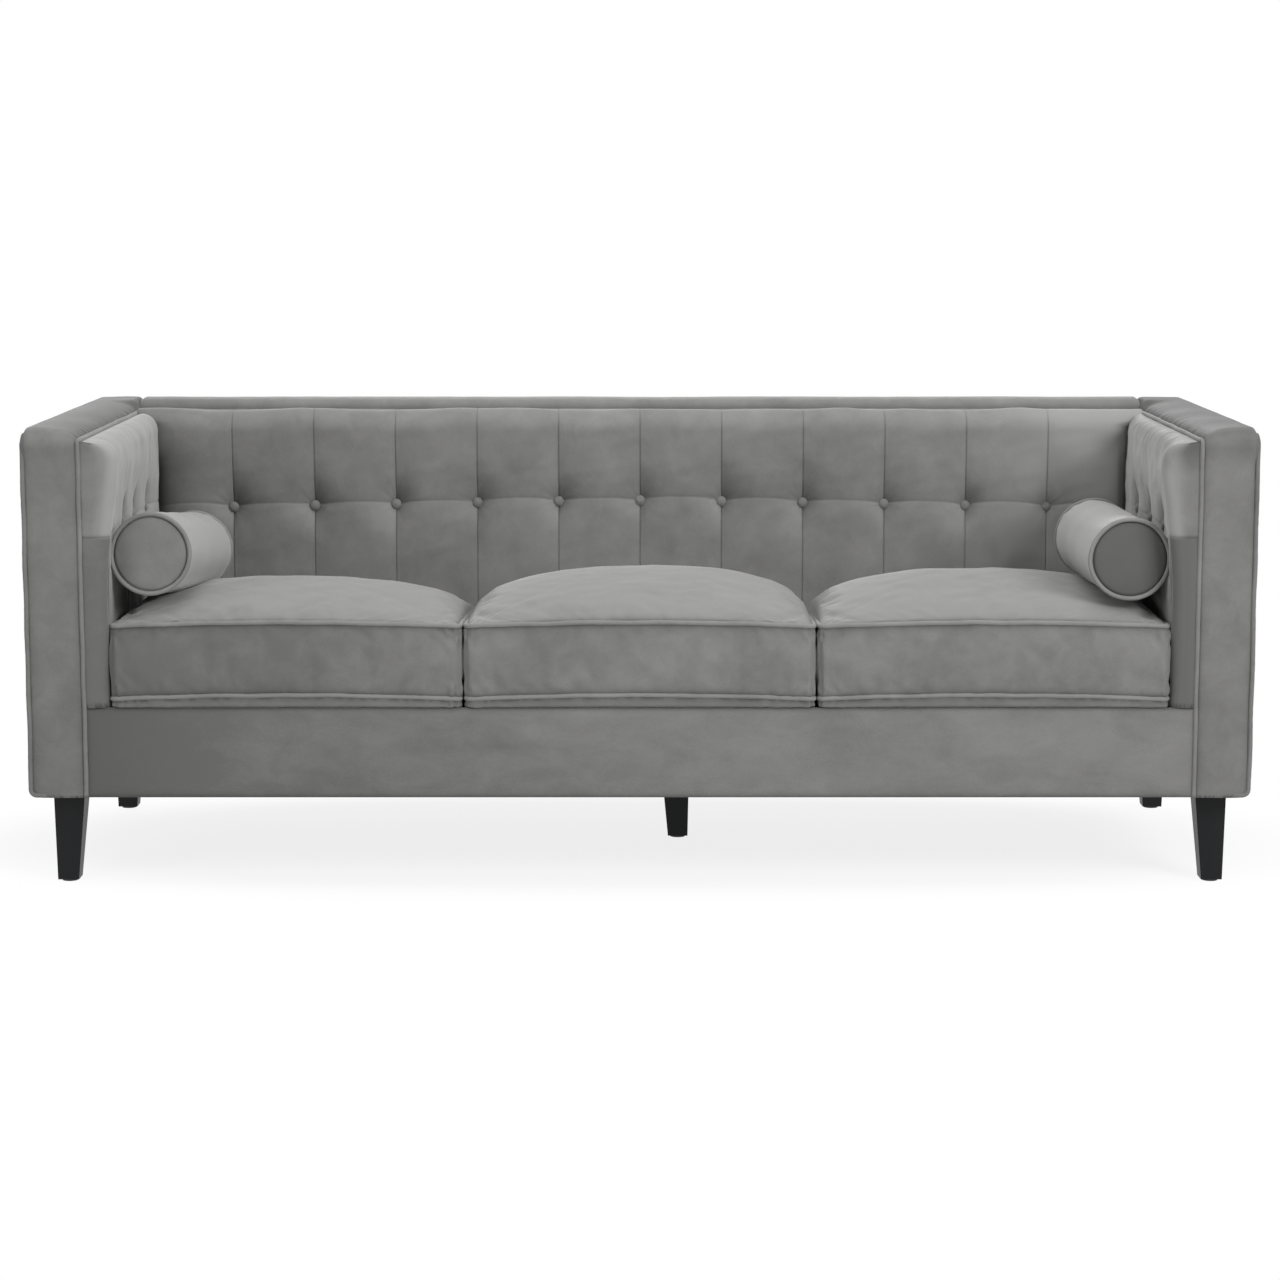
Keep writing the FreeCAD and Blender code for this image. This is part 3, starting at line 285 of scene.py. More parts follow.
# Shader writing
class Wire:
    # a socket's value, so that shader maths reads as an expression

    def __init__(self, recipe, socket):
        self.recipe, self.socket = recipe, socket

    def join(self, operation, first, second):
        # one Math node for one operation
        return self.recipe.node("ShaderNodeMath", {"operation": operation}, {0: first, 1: second})

    def __add__(self, other):
        return self.join("ADD", self, other)

    __radd__ = __add__

    def __mul__(self, other):
        return self.join("MULTIPLY", self, other)

    __rmul__ = __mul__

    def __sub__(self, other):
        return self.join("SUBTRACT", self, other)

    def __rsub__(self, other):
        return self.join("SUBTRACT", other, self)


class Recipe:
    # the node tree of a material or a world, written node by node

    def __init__(self, owner):
        owner.use_nodes = True
        self.owner, self.tree = owner, owner.node_tree
        self.tree.nodes.clear()

    def node(self, kind, settings=None, inputs=None, output=0):
        # a node of any type: its settings first, then the values or links of its sockets
        made = self.tree.nodes.new(kind)
        for key, value in (settings or {}).items():
            setattr(made, key, value)
        for key, value in (inputs or {}).items():
            if isinstance(value, Wire):
                self.tree.links.new(value.socket, made.inputs[key])
            else:
                made.inputs[key].default_value = value
        return Wire(self, made.outputs[output]) if len(made.outputs) else None

    def noise(self, place, scale, detail=2.0, roughness=0.5, distortion=0.0):
        # clouds between 0 and 1, about half on average
        return self.node("ShaderNodeTexNoise", {}, {"Vector": place, "Scale": scale, "Detail": detail,
                                                    "Roughness": roughness, "Distortion": distortion}, "Fac")

    def mark(self, name):
        # a value that the mesh carries at its points
        return self.node("ShaderNodeAttribute", {"attribute_name": name}, {}, "Fac")

    def place(self, stretch=(1, 1, 1)):
        # the point on the object, in metres, stretched along each axis
        spot = self.node("ShaderNodeTexCoord", {}, {}, "Object")
        return self.node("ShaderNodeMapping", {}, {"Vector": spot, "Scale": stretch})

    def mix(self, factor, first, second):
        # colour blend between two colours
        return self.node("ShaderNodeMix", {"data_type": "RGBA"}, {0: factor, 6: first, 7: second}, 2)

    def bump(self, height, distance):
        # a normal tilted by the height, which stands out by the distance
        return self.node("ShaderNodeBump", {}, {"Height": height, "Distance": distance, "Strength": 1.0})

    def seen(self):
        # 1 for the rays that look at the background: straight ones, mirrored ones and ones through glass
        straight, mirrored, through = (self.node("ShaderNodeLightPath", {}, {}, "Is %s Ray" % kind)
                                       for kind in ("Camera", "Glossy", "Transmission"))
        return straight.join("MAXIMUM", straight.join("MAXIMUM", straight, mirrored), through)

    def finish(self, **inputs):
        # the principled shader, its sockets named in camelCase
        words = {key[0].upper() + "".join(" " + c if c.isupper() else c for c in key[1:]): value
                 for key, value in inputs.items()}
        words["Specular IOR Level"] = words.pop("Specular Ior Level", 0.5)
        shader = self.node("ShaderNodeBsdfPrincipled", {}, words)
        self.node("ShaderNodeOutputMaterial", {}, {"Surface": shader})
        return self.owner


def grey(value, warmth=0.0):
    # a grey of one value, with a little more red and less blue as it gets warmer
    return (value * (1 + warmth), value * (1 + warmth * 0.9), value * (1 - warmth), 1)


# Velvet: cloud, mottle and fibre are noises (scale, detail, roughness, distortion), and shares how much of
# each goes into the tone; painted light and shade past half a unit goes on to the brightest or the darkest
velvetLook = {"dark": 0.122, "light": 0.212, "brightest": 1.5, "darkest": 0.55, "warmth": 0.014,
              "seamAndShadeGrey": 0.012, "seamAndShadeDark": 0.68, "cloud": (4.2, 3.0, 0.55, 0.6),
              "mottle": (21.0, 4.0, 0.62, 0.4), "fibre": (620.0, 2.0, 0.6), "shares": (0.85, 0.9, 0.5),
              "sheen": 0.34, "sheenRoughness": 0.4,
              "sheenGrey": 0.95, "roughness": 0.92, "roughnessSpread": 0.12, "specular": 0.18,
              "relief": 0.0006, "fibreRelief": 0.6, "mottleRelief": 0.9}
# Plain finishes: a grain and a finer speck, and how much of each goes into the tone and the relief
plainLook = {"grain": (5.0, 0.6, 0.3), "speckFiner": 7, "speckDetail": 2.0, "grainShare": 1.3,
             "speckShare": 0.6, "roughnessSpread": 0.12, "speckRelief": 0.4}


def makeVelvet(name, stretch=(1, 1, 1)):
    # broad cloudy patches where the pile lies another way, a finer mottle, single fibres, darker seams, and
    # the painted light and shade that the mesh carries
    look = velvetLook
    recipe = Recipe(bpy.data.materials.new(name))
    place = recipe.place(stretch)
    cloud, mottle, fibre = (recipe.noise(place, *look[key]) for key in ("cloud", "mottle", "fibre"))
    cloudShare, mottleShare, fibreShare = look["shares"]
    tone = (cloud - 0.5) * cloudShare + (mottle - 0.5) * mottleShare + (fibre - 0.5) * fibreShare
    lean = recipe.mark("lean")  # the pile's direction together with painted light and shade: below 0 darker, above 0 lighter
    dark, light, brightest, darkest = (grey(value, look["warmth"]) for value in (
        look["dark"], look["light"], look["light"] * look["brightest"], look["dark"] * look["darkest"]))
    nap = recipe.mix(tone + (lean + 0.5), dark, light)
    nap = recipe.mix(lean - 0.5, nap, brightest)
    nap = recipe.mix(-0.5 - lean, nap, darkest)
    # darker seams, and painted shade in creases, in button bowls and beside the arm pads
    colour = recipe.mix(recipe.mark("seam") * look["seamAndShadeDark"], nap, grey(look["seamAndShadeGrey"]))
    relief = recipe.bump(fibre * look["fibreRelief"] + mottle * look["mottleRelief"], look["relief"])
    return recipe.finish(baseColor=colour, sheenWeight=look["sheen"], sheenRoughness=look["sheenRoughness"],
                         roughness=look["roughness"] - (mottle - 0.5) * look["roughnessSpread"],
                         sheenTint=grey(look["sheenGrey"]), specularIorLevel=look["specular"], normal=relief)


def makePlain(name, base, variation, scale, roughness, stretch=(1, 1, 1), relief=0.0003, **more):
    # one colour clouded by noise at two scales, with the same noise as a fine relief
    look = plainLook
    recipe = Recipe(bpy.data.materials.new(name))
    place = recipe.place(stretch)
    grain = recipe.noise(place, scale, *look["grain"])
    speck = recipe.noise(place, scale * look["speckFiner"], look["speckDetail"])
    tone = (grain - 0.5) * look["grainShare"] + (speck - 0.5) * look["speckShare"] + 0.5
    dark = tuple(channel * (1 - variation) for channel in base) + (1,)
    light = tuple(min(1, channel * (1 + variation)) for channel in base) + (1,)
    return recipe.finish(baseColor=recipe.mix(tone, dark, light),
                         roughness=roughness + (grain - 0.5) * look["roughnessSpread"],
                         normal=recipe.bump(grain + speck * look["speckRelief"], relief), **more)


velvet = makeVelvet("greyVelvet")
railVelvet = makeVelvet("greyVelvetLengthways", (0.55, 1, 1.1))
# name, colour, its variation, scale of the grain, roughness, stretch and relief
legLacquer = makePlain("blackLacquer", (0.0055, 0.006, 0.0068), 0.2, 26, 0.42, (1, 1, 0.12), 0.00015,
                       specularIorLevel=0.18, coatWeight=0.05, coatRoughness=0.35)
sawnWood = makePlain("sawnHardwood", (0.55, 0.38, 0.22), 0.28, 30, 0.75, (0.1, 1, 1))
cutFoam = makePlain("cutFoam", (0.80, 0.73, 0.52), 0.08, 160, 0.95, relief=0.0006)
platformCloth = makePlain("platformCloth", (0.03, 0.03, 0.031), 0.2, 240, 0.9)
liningCloth = makePlain("blackLining", (0.022, 0.022, 0.024), 0.2, 420, 0.9)
jute = makePlain("juteWebbing", (0.42, 0.32, 0.19), 0.25, 260, 0.9)
springWire = makePlain("drawnWire", (0.42, 0.42, 0.43), 0.12, 90, 0.38, metallic=0.9)
zincPlate = makePlain("zincPlate", (0.62, 0.62, 0.6), 0.1, 60, 0.34, metallic=1.0)
glideNylon = makePlain("glideNylon", (0.045, 0.045, 0.045), 0.1, 90, 0.5)
slotMaterials = {"frame_wood": sawnWood, "leg_wood": legLacquer, "velvet": velvet, "foam": cutFoam,
                 "lining_cloth": liningCloth, "webbing": jute, "spring_steel": springWire,
                 "zinc_steel": zincPlate, "glide_nylon": glideNylon}
slotOfNode = {part["node"]: part["material_slot"] for part in frame["record"]["subparts"]}
for nodeName, nodeObject in frame["nodes"].items():
    nodeObject.data.materials.clear()
    nodeObject.data.materials.append(slotMaterials[slotOfNode[nodeName]])
print("materials made")


# Bands up the arm fronts and over the arms, and the one along the top of the back.
# Pairs are a height and a length of waves, a reach and a power of a round shoulder, or two distances.
band = {"turn": 0.011, "frontDome": 0.003, "outerLift": 0.009, "armLift": 0.004, "backLift": 0.0065,
        "seamDrop": 0.0035, "seamWidth": 0.0035, "creaseDrop": 0.006, "creaseWidth": 0.005,
        "creaseMark": 0.0045, "markSpread": 0.7, "armMark": 0.7, "backMark": 0.8,
        "rearInset": 0.006, "rearRound": 0.016, "footRound": 0.0105, "tuckIn": 0.0028, "backReach": 0.009,
        "thickness": 0.004, "topThickness": 0.005, "backThickness": 0.009,
        "step": 0.006, "samples": 44, "backSamples": (330, 40), "crowding": 1.9,
        "overCorner": (-0.045, 0.02), "paintedLightCorner": (-0.004, 0.022), "beforeRear": (0.13, 0.09),
        "outerRise": (0.09, 3), "innerRise": (0.2, 2.6), "endRise": (0.013, 2.6), "innerFall": (3.2, 0.7),
        "backDome": (3.2, 0.6), "backFullness": 0.97, "backEnd": 0.2,
        "creaseWaves": (0.35, 0.05), "gathers": (0.0006, 0.016), "gatherStretch": 0.25, "gatherReach": 0.03,
        "broadWaves": (0.0009, 0.16), "tucks": (0.0009, 0.022), "tuckStretch": 0.2, "tuckReach": 0.014,
        "sag": (0.02, 0.32), "fineSag": (0.006, 0.07),
        # the tops of the arm bands are darkened by painted shade, the right one most, and the fronts a
        # little
        "leftLean": -1.0, "rightLean": -1.75, "leftFront": -0.12, "rightFront": -0.05, "lowLean": -0.16,
        "lowShares": (0.9, 0.2), "leftShade": 0.0, "rightShade": 0.3}


def roundInset(height, radius):
    # how far a rounded bottom corner stands in at a height: radius less the root of its chord
    return radius - np.sqrt(np.clip(radius ** 2 - np.clip(radius - height, 0, radius) ** 2, 0, None))


def edgeDrop(t, width):
    # 1 at both sides of the strip and 0 away from them; width is the distance of either side in metres
    return fading(t * width, band["seamWidth"]) + fading((1 - t) * width, band["seamWidth"])


def makeArmBand(side, word):
    # a strip carried up the front, round the corner and along the top; t runs from outer to inner piping
    width = sideX - padX
    route = roundedPath([(0, frontY, hemZ), (0, frontY, seamZ), (0, rearY - band["rearInset"], seamZ)],
                        [0, band["turn"], 0], band["step"])
    along = tangents(route, False)
    up = joined(0 * along[:, 0], -along[:, 2], along[:, 1])  # away from the frame
    length = np.concatenate([[0], np.cumsum(np.linalg.norm(np.diff(route, axis=0), axis=1))])
    corner, end = seamZ - hemZ, length[-1]
    s, t = length[:, None], shares(band["samples"], band["crowding"])[None, :]
    toInner = (1 - t) * width
    onTop = smooth(*(corner + v for v in band["overCorner"]), s)
    toBack = smooth(*(end - v for v in band["beforeRear"]), s)
    # the top rises at the outer piping and falls off softly to the inner one, but steeply beside the back
    power, root = band["innerFall"]
    inwards = (1 - t ** power) ** root * (1 - toBack) + rounding(1 - t, *band["innerRise"]) * toBack
    lift = band["outerLift"] * (1 - t) ** 4
    rise = crestZ - seamZ + band["armLift"]
    topDome = lift + (rise - lift) * rounding(t, *band["outerRise"]) * inwards
    height = band["frontDome"] * (1 - (2 * t - 1) ** 4) * (1 - onTop) + topDome * onTop
    height = height * np.sqrt(1 - smooth(end - band["rearRound"], end + hair, s) ** 2)
    crease = band["creaseDrop"] * fading(toInner, band["creaseWidth"]) * onTop * (1 - toBack)
    crease = crease * (1 + waves(s[..., None], band["creaseWaves"], 27 + side))
    height = height - band["seamDrop"] * edgeDrop(t, width) - crease
    # gathers at the corner, broad waves, and small tucks beside the inner piping
    gathers = waves(joined(s * band["gatherStretch"], t * width), band["gathers"], 21 + side)
    gathers = gathers * bell(s - corner, band["gatherReach"])
    broad = waves(joined(s, t * width), band["broadWaves"], 23 + side)
    tucks = waves(joined(s, t * width * band["tuckStretch"]), band["tucks"], 25 + side)
    tucks = tucks * fading(toInner, band["tuckReach"])
    height = height + (gathers + broad) * np.sin(pi * t) + tucks * onTop * (1 - toBack)
    inset = roundInset(s - cord["radius"], band["footRound"])
    base = route[:, None] + joined(side * (sideX - inset - t * (width - inset)), 0, 0)
    outer = base + up[:, None] * height[..., None]
    inner = base - up[:, None] * (band["thickness"] + band["topThickness"] * onTop + crease)[..., None]
    seam = np.clip(edgeDrop(t, width * band["markSpread"]), 0, 1) * band["armMark"]
    # painted shade along the crease beside the inner piping
    seam = np.maximum(seam, onTop * fading(toInner, band["creaseMark"]))
    # painted shade over the top of the band, on the right arm only
    seam = np.maximum(seam, onTop * band[word + "Shade"])
    # painted shade over the tops and a little on the fronts, and darker towards the foot of the front
    lean = band[word + "Lean"] * smooth(*(corner + v for v in band["paintedLightCorner"]), s)
    lean = lean + band[word + "Front"]
    lean = lean + band["lowLean"] * smooth(*(corner * v for v in band["lowShares"]), s)
    return addPiece(word + "ArmBand", shellGrids(outer, inner, {"seam": seam, "lean": lean}),
                    [word + "_arm_front_panel", word + "_arm_top_band"])


def makeBackBand():
    # the same strip straight across the back; t runs from the front piping to the rear piping
    end, width = padX + band["backReach"], rearY - backY
    across, samples = band["backSamples"]
    x, t = np.linspace(-end, end, across)[:, None], shares(samples, band["crowding"])[None, :]
    power, root = band["backDome"]
    dome = (1 - np.abs(2 * t - 1) ** power) ** root
    spot = joined(x, t * width)
    sag = 1 + waves(spot, band["sag"], 31) + waves(spot, band["fineSag"], 32)
    rise = crestZ - seamZ + band["backLift"]
    lift = band["outerLift"] * t ** 4
    height = lift + (rise - lift) * dome * sag * band["backFullness"] - band["seamDrop"] * edgeDrop(t, width)
    ending = band["backEnd"] + (1 - band["backEnd"]) * rounding(end - np.abs(x), *band["endRise"])
    height = np.minimum(height, rise + hair) * ending
    outer = joined(x, backY + t * width, seamZ + height)
    inner = joined(x, backY + t * width, seamZ - band["backThickness"])
    seam = np.clip(edgeDrop(t, width * band["markSpread"]), 0, 1) * band["backMark"]
    return addPiece("backBand", shellGrids(outer, inner, {"seam": seam}), ["back_top_band"])


# Piping round the arms and the back: how far it runs in at the hem, the shoulder where it goes over to the
# raised top, and the radius of each turn
piping = {"hemRun": 0.028, "shoulder": 0.014, "setBack": 0.002, "outerTurns": (0.009, 0.004, 0.006),
          "outerLean": -0.2, "innerTurns": (0.009, 0.006), "innerLean": 0.05}


def archedRoute(half, turns):
    # the way up the left arm, over it and across, and the same mirrored down the right arm
    left = [(-x, y, z) for x, y, z in half]
    return roundedPath(left + half[::-1], turns + turns[::-1], cord["step"])


def makePipings():
    # both routes go from the hem of the left arm to the hem of the right one
    low, high, top = hemZ + cord["radius"], seamZ + band["outerLift"], sideX - band["tuckIn"]
    route = archedRoute([(sideX - piping["hemRun"], frontY, low), (sideX, frontY, low),
                         (sideX, frontY, high - piping["shoulder"]), (top, frontY + piping["setBack"], high),
                         (top, rearY, high)], [0, band["footRound"], *piping["outerTurns"]])
    addPiece("outerPiping", tubeGrids(route, cord["radius"], False, 11, piping["outerLean"]),
             ["outer_piping"])
    route = archedRoute([(padX, frontY, hemZ + hair), (padX, frontY, seamZ), (padX, backY, seamZ)],
                        [0, *piping["innerTurns"]])
    addPiece("innerPiping", tubeGrids(route, cord["radius"], False, 12, piping["innerLean"]),
             ["inner_piping"])


# Flat covers: outside panels and the cover of the front rail
panel = {"puff": 0.0022, "hem": 0.005, "hemWidth": 0.0035, "markWidth": 0.004, "mark": 0.8,
         "thickness": 0.004, "waves": (0.0007, 0.22), "wavesFrom": 0.03, "railLean": (-1.0, -0.05),
         "tuck": 0.003, "setIn": 0.0008, "railSetIn": 0.0006, "samples": (150, 60), "longSamples": (260, 60),
         "railSamples": (260, 44), "crowding": 1.7}


def panelGrids(origin, along, up, outward, length, height, seed, samples=panel["samples"],
               thickness=panel["thickness"], leans=(0, 0), corner=0.0):
    # a flat sheet with a slight puff, rolled back at its edges; waves of the cloth are random ripples
    a, b = (shares(count, panel["crowding"]) for count in samples)
    a, b = a[:, None], b[None, :]
    edge = np.minimum(np.minimum(a, 1 - a) * length, np.minimum(b, 1 - b) * height)
    rise = panel["puff"] * np.sqrt(np.clip(16 * a * (1 - a) * b * (1 - b), 0, 1))
    rise = rise - panel["hem"] * fading(edge, panel["hemWidth"])
    spot = joined(a * length, b * height)
    rise = rise + waves(spot, panel["waves"], seed) * smooth(0, panel["wavesFrom"], edge)
    origin, along, up, outward = (np.array(v, float) for v in (origin, along, up, outward))
    inset = roundInset(b * height, corner)
    base = origin + along * (inset + a * (length - inset))[..., None] + up * (b * height)[..., None]
    outer = base + outward * rise[..., None]
    inner = base - outward * (thickness + panel["hem"])
    seam = fading(edge, panel["markWidth"]) * panel["mark"]
    # painted shade towards the ends of the sheet; on the rail cover mostly at the left end
    return shellGrids(outer, inner, {"seam": seam, "lean": leans[0] * (1 - a) ** 4 + leans[1] * a ** 4})


def makePanels():
    # each sheet starts at a corner of its node's box and reaches up to the raised piping
    tuck, lift = panel["tuck"], band["outerLift"]
    for side, word in sides:
        low, high = span(word + "_outside_arm_panel")
        faceX = (high[0] if side > 0 else low[0]) - side * panel["setIn"]
        grids = panelGrids((faceX, low[1] - tuck, low[2]), (0, 1, 0), (0, 0, 1), (side, 0, 0),
                           high[1] - low[1] + tuck, high[2] - low[2] + lift, 41 + side,
                           corner=band["footRound"])
        addPiece(word + "OutsidePanel", grids, [word + "_outside_arm_panel"])
    low, high = span("outside_back_panel")
    grids = panelGrids((low[0], high[1] - panel["setIn"], low[2]), (1, 0, 0), (0, 0, 1), (0, 1, 0),
                       high[0] - low[0], high[2] - low[2] + lift, 44, panel["longSamples"])
    addPiece("outsideBack", grids, ["outside_back_panel"], material=railVelvet)
    low, high = span("front_rail_cover")
    grids = panelGrids((low[0] - tuck, low[1] - panel["railSetIn"], low[2]), (1, 0, 0), (0, 0, 1),
                       (0, -1, 0), high[0] - low[0] + 2 * tuck, high[2] - low[2], 45, panel["railSamples"],
                       leans=panel["railLean"])
    addPiece("frontRailCover", grids, ["front_rail_cover"], material=railVelvet)


# Bolsters: left and right give the tilt and the turn in degrees, and the shift from the frame's place
bolster = {"radius": 0.0708, "half": 0.2, "puff": 0.007, "left": (5.8, 3.5), "right": (0.8, 1.6),
           "leftShift": (-0.002, 0, 0), "rightShift": (0.002, 0, 0.001), "fillInset": 0.006,
           "dentRing": (0.0025, 0.006), "dentEnd": 0.02, "tight": 0.0026, "tightReach": 0.004,
           "pleats": (0.0009, 0.018), "pleatStretch": 0.12, "pleatReach": 0.03, "broadWaves": (0.0011, 0.12),
           "discWaves": (0.0006, 0.05), "discPuff": 0.85, "discSeam": (0.0038, 0.0028, 0.0019),
           "discMark": (0.85, 0.0013), "edgeMark": (0.8, 0.003), "cordShare": 0.95, "cordSink": 0.0015,
           "cordOut": 0.0008, "crowding": 1.7, "coverSamples": (128, 120), "fillSamples": (40, 16),
           "discRows": 26, "cordSamples": 120, "bodyLean": (0.98, 1.3), "discLean": (0.05, -1.0)}


def bolsterAxis(side, word):
    # the middle of a bolster and the direction it lies in, to the rear
    low, high = span(word + "_bolster_cover")
    tilt, turn = (radians(v) for v in bolster[word])
    axis = np.array([-side * sin(turn), cos(turn) * cos(tilt), -sin(tilt)])
    return (low + high) / 2 + np.array(bolster[word + "Shift"]), axis / np.linalg.norm(axis)


def clearBolster(points, word, gap):
    # points inside a bolster's cylinder move straight out of it, up to a rounded end and round its piping
    if word == "centre":
        return points
    middle, axis = bolsterAxis(-1 if word == "left" else 1, word)
    away = points - middle
    along = away @ axis
    across = away - along[..., None] * axis
    distance = np.linalg.norm(across, axis=-1)
    far = np.abs(along)
    ringHeight, ringWidth = bolster["dentRing"]
    ring = ringHeight * bell(far - bolster["half"] + bolster["puff"] + cord["radius"], ringWidth)
    limit = bolster["radius"] + gap + ring
    limit = limit * (1 - smooth(bolster["half"], bolster["half"] + bolster["dentEnd"], far))
    grow = np.maximum(limit / np.maximum(distance, 1e-9), 1)
    moved = middle + along[..., None] * axis + across * grow[..., None]
    return np.where((distance < limit)[..., None], moved, points)


# Tufting: left and right give the first button of an arm and the pitch; bowl, star and spokes shape the
# cloth round a button; pulls darken and lighten four quarters round it, partly for the pile turned towards
# the
# button and partly as painted shade above and to the right and painted highlight below and to the left:
# strength, side along, side up, reach and power
tuft = {"height": 0.618, "pitch": 0.156, "columns": 12, "armTufts": 3, "archWidth": 0.06,
        "droop": 0.0125, "droopPower": 1.2, "left": (-0.1445, 0.131), "right": (-0.2125, 0.148),
        "archSpread": (0.75, 1.3), "gatherSpread": (0.85, 1.15), "pullSpread": (0.75, 1.2),
        "gatherUp": 1.2, "gatherDown": 0.7, "stitch": (0.0003, 0.0058, 0.0011), "squash": 0.85,
        "bowl": (0.024, 1.2), "star": 0.0008, "starReach": 0.020, "starHollow": 0.008, "spokes": (7, 12),
        "pulls": ((-1.15, 1, 1, 0.036, 1.3), (-0.8, 1, -1, 0.022, 1.3),
                  (0.55, -1, -1, 0.045, 1.5), (0.165, -1, 1, 0.04, 1.5)),
        "pullBlurX": 0.001, "pullBlurZ": 0.004, "creaseShare": 0.4, "creaseReach": 0.03,
        "creaseHeight": 0.012, "creaseAtBowl": 0.6, "creaseLineHeight": 0.0010, "middleAt": 0.05,
        "middleWidth": 0.06, "seamMark": 0.2, "creaseMark": 0.38, "creaseMarkHeight": 0.0009,
        "bowlMark": 0.45, "crowding": 1.9}


def tuftDroop(x):
    # the row of buttons hangs a little lower towards both ends
    return tuft["droop"] * (np.abs(x) / (tuft["pitch"] * 5)) ** tuft["droopPower"]


def columnPlaces(seams, samples):
    # samples along the seams' direction, crowded at every seam
    t = shares(samples + 1, tuft["crowding"])
    parts = [start + (end - start) * t[:-1] for start, end in zip(seams[:-1], seams[1:])]
    return np.concatenate(parts + [seams[-1:]])


def tuftField(along, z, seams, looks, seed, fade):
    # valleys along the seams that deepen towards the buttons, a bowl at each button, a crease between the
    # buttons that arches over each column; gives depth, the seam mark with painted shade in the bowls, arch,
    # and the pull: the pile turned towards each button, with painted shade and highlight round it
    column = np.clip(np.searchsorted(seams, along, side="right") - 1, 0, len(seams) - 2)
    start, end = seams[column], seams[column + 1]
    share = (2 * along - start - end) / (end - start)
    distance = np.minimum(along - start, end - along)
    nearest = column + (share > 0)
    tied = (nearest > 0) & (nearest < len(seams) - 1)
    height = z - tuft["height"]
    rng = np.random.default_rng(seed)
    rise = looks["creaseRise"] * rng.uniform(*tuft["archSpread"], len(seams))[column]
    arch = rise * (1 - np.abs(share) ** 2.6)
    strength = rng.uniform(*tuft["gatherSpread"], len(seams))[nearest] * tied
    reach = looks["gatherReach"] * np.where(height > 0, tuft["gatherUp"], tuft["gatherDown"])
    valley = looks["seamDip"] + looks["valleyDip"] * fading(np.abs(height), reach) * strength
    valley = valley * fading(distance, looks["valleyWidth"])
    line = fading(distance, looks["lineWidth"])
    bowl, star, pull = (np.zeros_like(along * z) for _ in range(3))
    for button in seams[1:-1]:
        across = along - button
        radius = np.sqrt(across ** 2 + (height * tuft["squash"]) ** 2) + 1e-9
        angle = np.arctan2(height, across)
        spokes = sum(np.sin(angle * count + rng.uniform(0, 6)) for count in tuft["spokes"])
        bowl = np.maximum(bowl, fading(radius, *tuft["bowl"]))
        star = star + spokes * fading(radius, tuft["starReach"]) * (1 - fading(radius, tuft["starHollow"]))
        uneven = rng.uniform(*tuft["pullSpread"])
        for force, onward, upward, pullReach, power in tuft["pulls"]:
            blurX, blurZ = onward * tuft["pullBlurX"], upward * tuft["pullBlurZ"]
            quarter = smooth(-blurX, blurX, across) * smooth(-blurZ, blurZ, height)
            # painted shade or highlight in each quarter, together with the pile's turn
            pull = pull + force * uneven * quarter * fading(radius, pullReach, power)
    nearButton = fading(distance, tuft["creaseReach"]) * tied
    crease = looks["creaseValley"] * (tuft["creaseShare"] + (1 - tuft["creaseShare"]) * nearButton)
    crease = crease * fading(np.abs(height), tuft["creaseHeight"]) * (1 - tuft["creaseAtBowl"] * bowl)
    crease = crease + looks["creaseLine"] * fading(np.abs(height), tuft["creaseLineHeight"])
    middle = (1 - np.abs(share) ** 2.4) * bell(np.abs(height) - tuft["middleAt"], tuft["middleWidth"])
    stitch, fromSeam, stitchWidth = tuft["stitch"]
    depth = (valley + looks["lineDip"] * line) * fade + stitch * bell(distance - fromSeam, stitchWidth)
    depth = depth + looks["buttonDip"] * bowl + crease + tuft["star"] * star * fade - looks["puff"] * middle
    seam = np.clip(line * (tuft["seamMark"] + looks["seamMark"] * fade), 0, 1)
    seam = np.maximum(seam, tuft["creaseMark"] * fading(np.abs(height), tuft["creaseMarkHeight"]))
    # painted shade in the bowls round the buttons
    return depth, np.maximum(seam, tuft["bowlMark"] * bowl ** 3), arch, pull


def padProfile(looks, bottom, seamDrop, reach):
    # side view of a pad: straight up, then a quarter ellipse back, then down to the piping; gives the height
    # and how far back the pad stands there
    low, high, turned, closing = looks["rows"]
    lower = bottom + (tuft["height"] - hair - bottom) * settling(low, 1.7)
    upper = tuft["height"] + hair + (looks["rollStart"] - tuft["height"]) * np.linspace(0, 1, high) ** 1.3
    angle = np.linspace(0, pi / 2, turned)[1:]
    rollZ = looks["rollStart"] + (looks["crest"] - looks["rollStart"]) * np.sin(angle)
    t = np.linspace(0, 1, closing)[1:]
    closeZ = looks["crest"] - (looks["crest"] - seamZ + seamDrop) * t ** 1.5
    closeBack = looks["rollDepth"] + (reach - looks["rollDepth"]) * t
    return (np.concatenate([lower, upper, rollZ, closeZ]),
            np.concatenate([np.zeros(low + high), looks["rollDepth"] * (1 - np.cos(angle)), closeBack]))


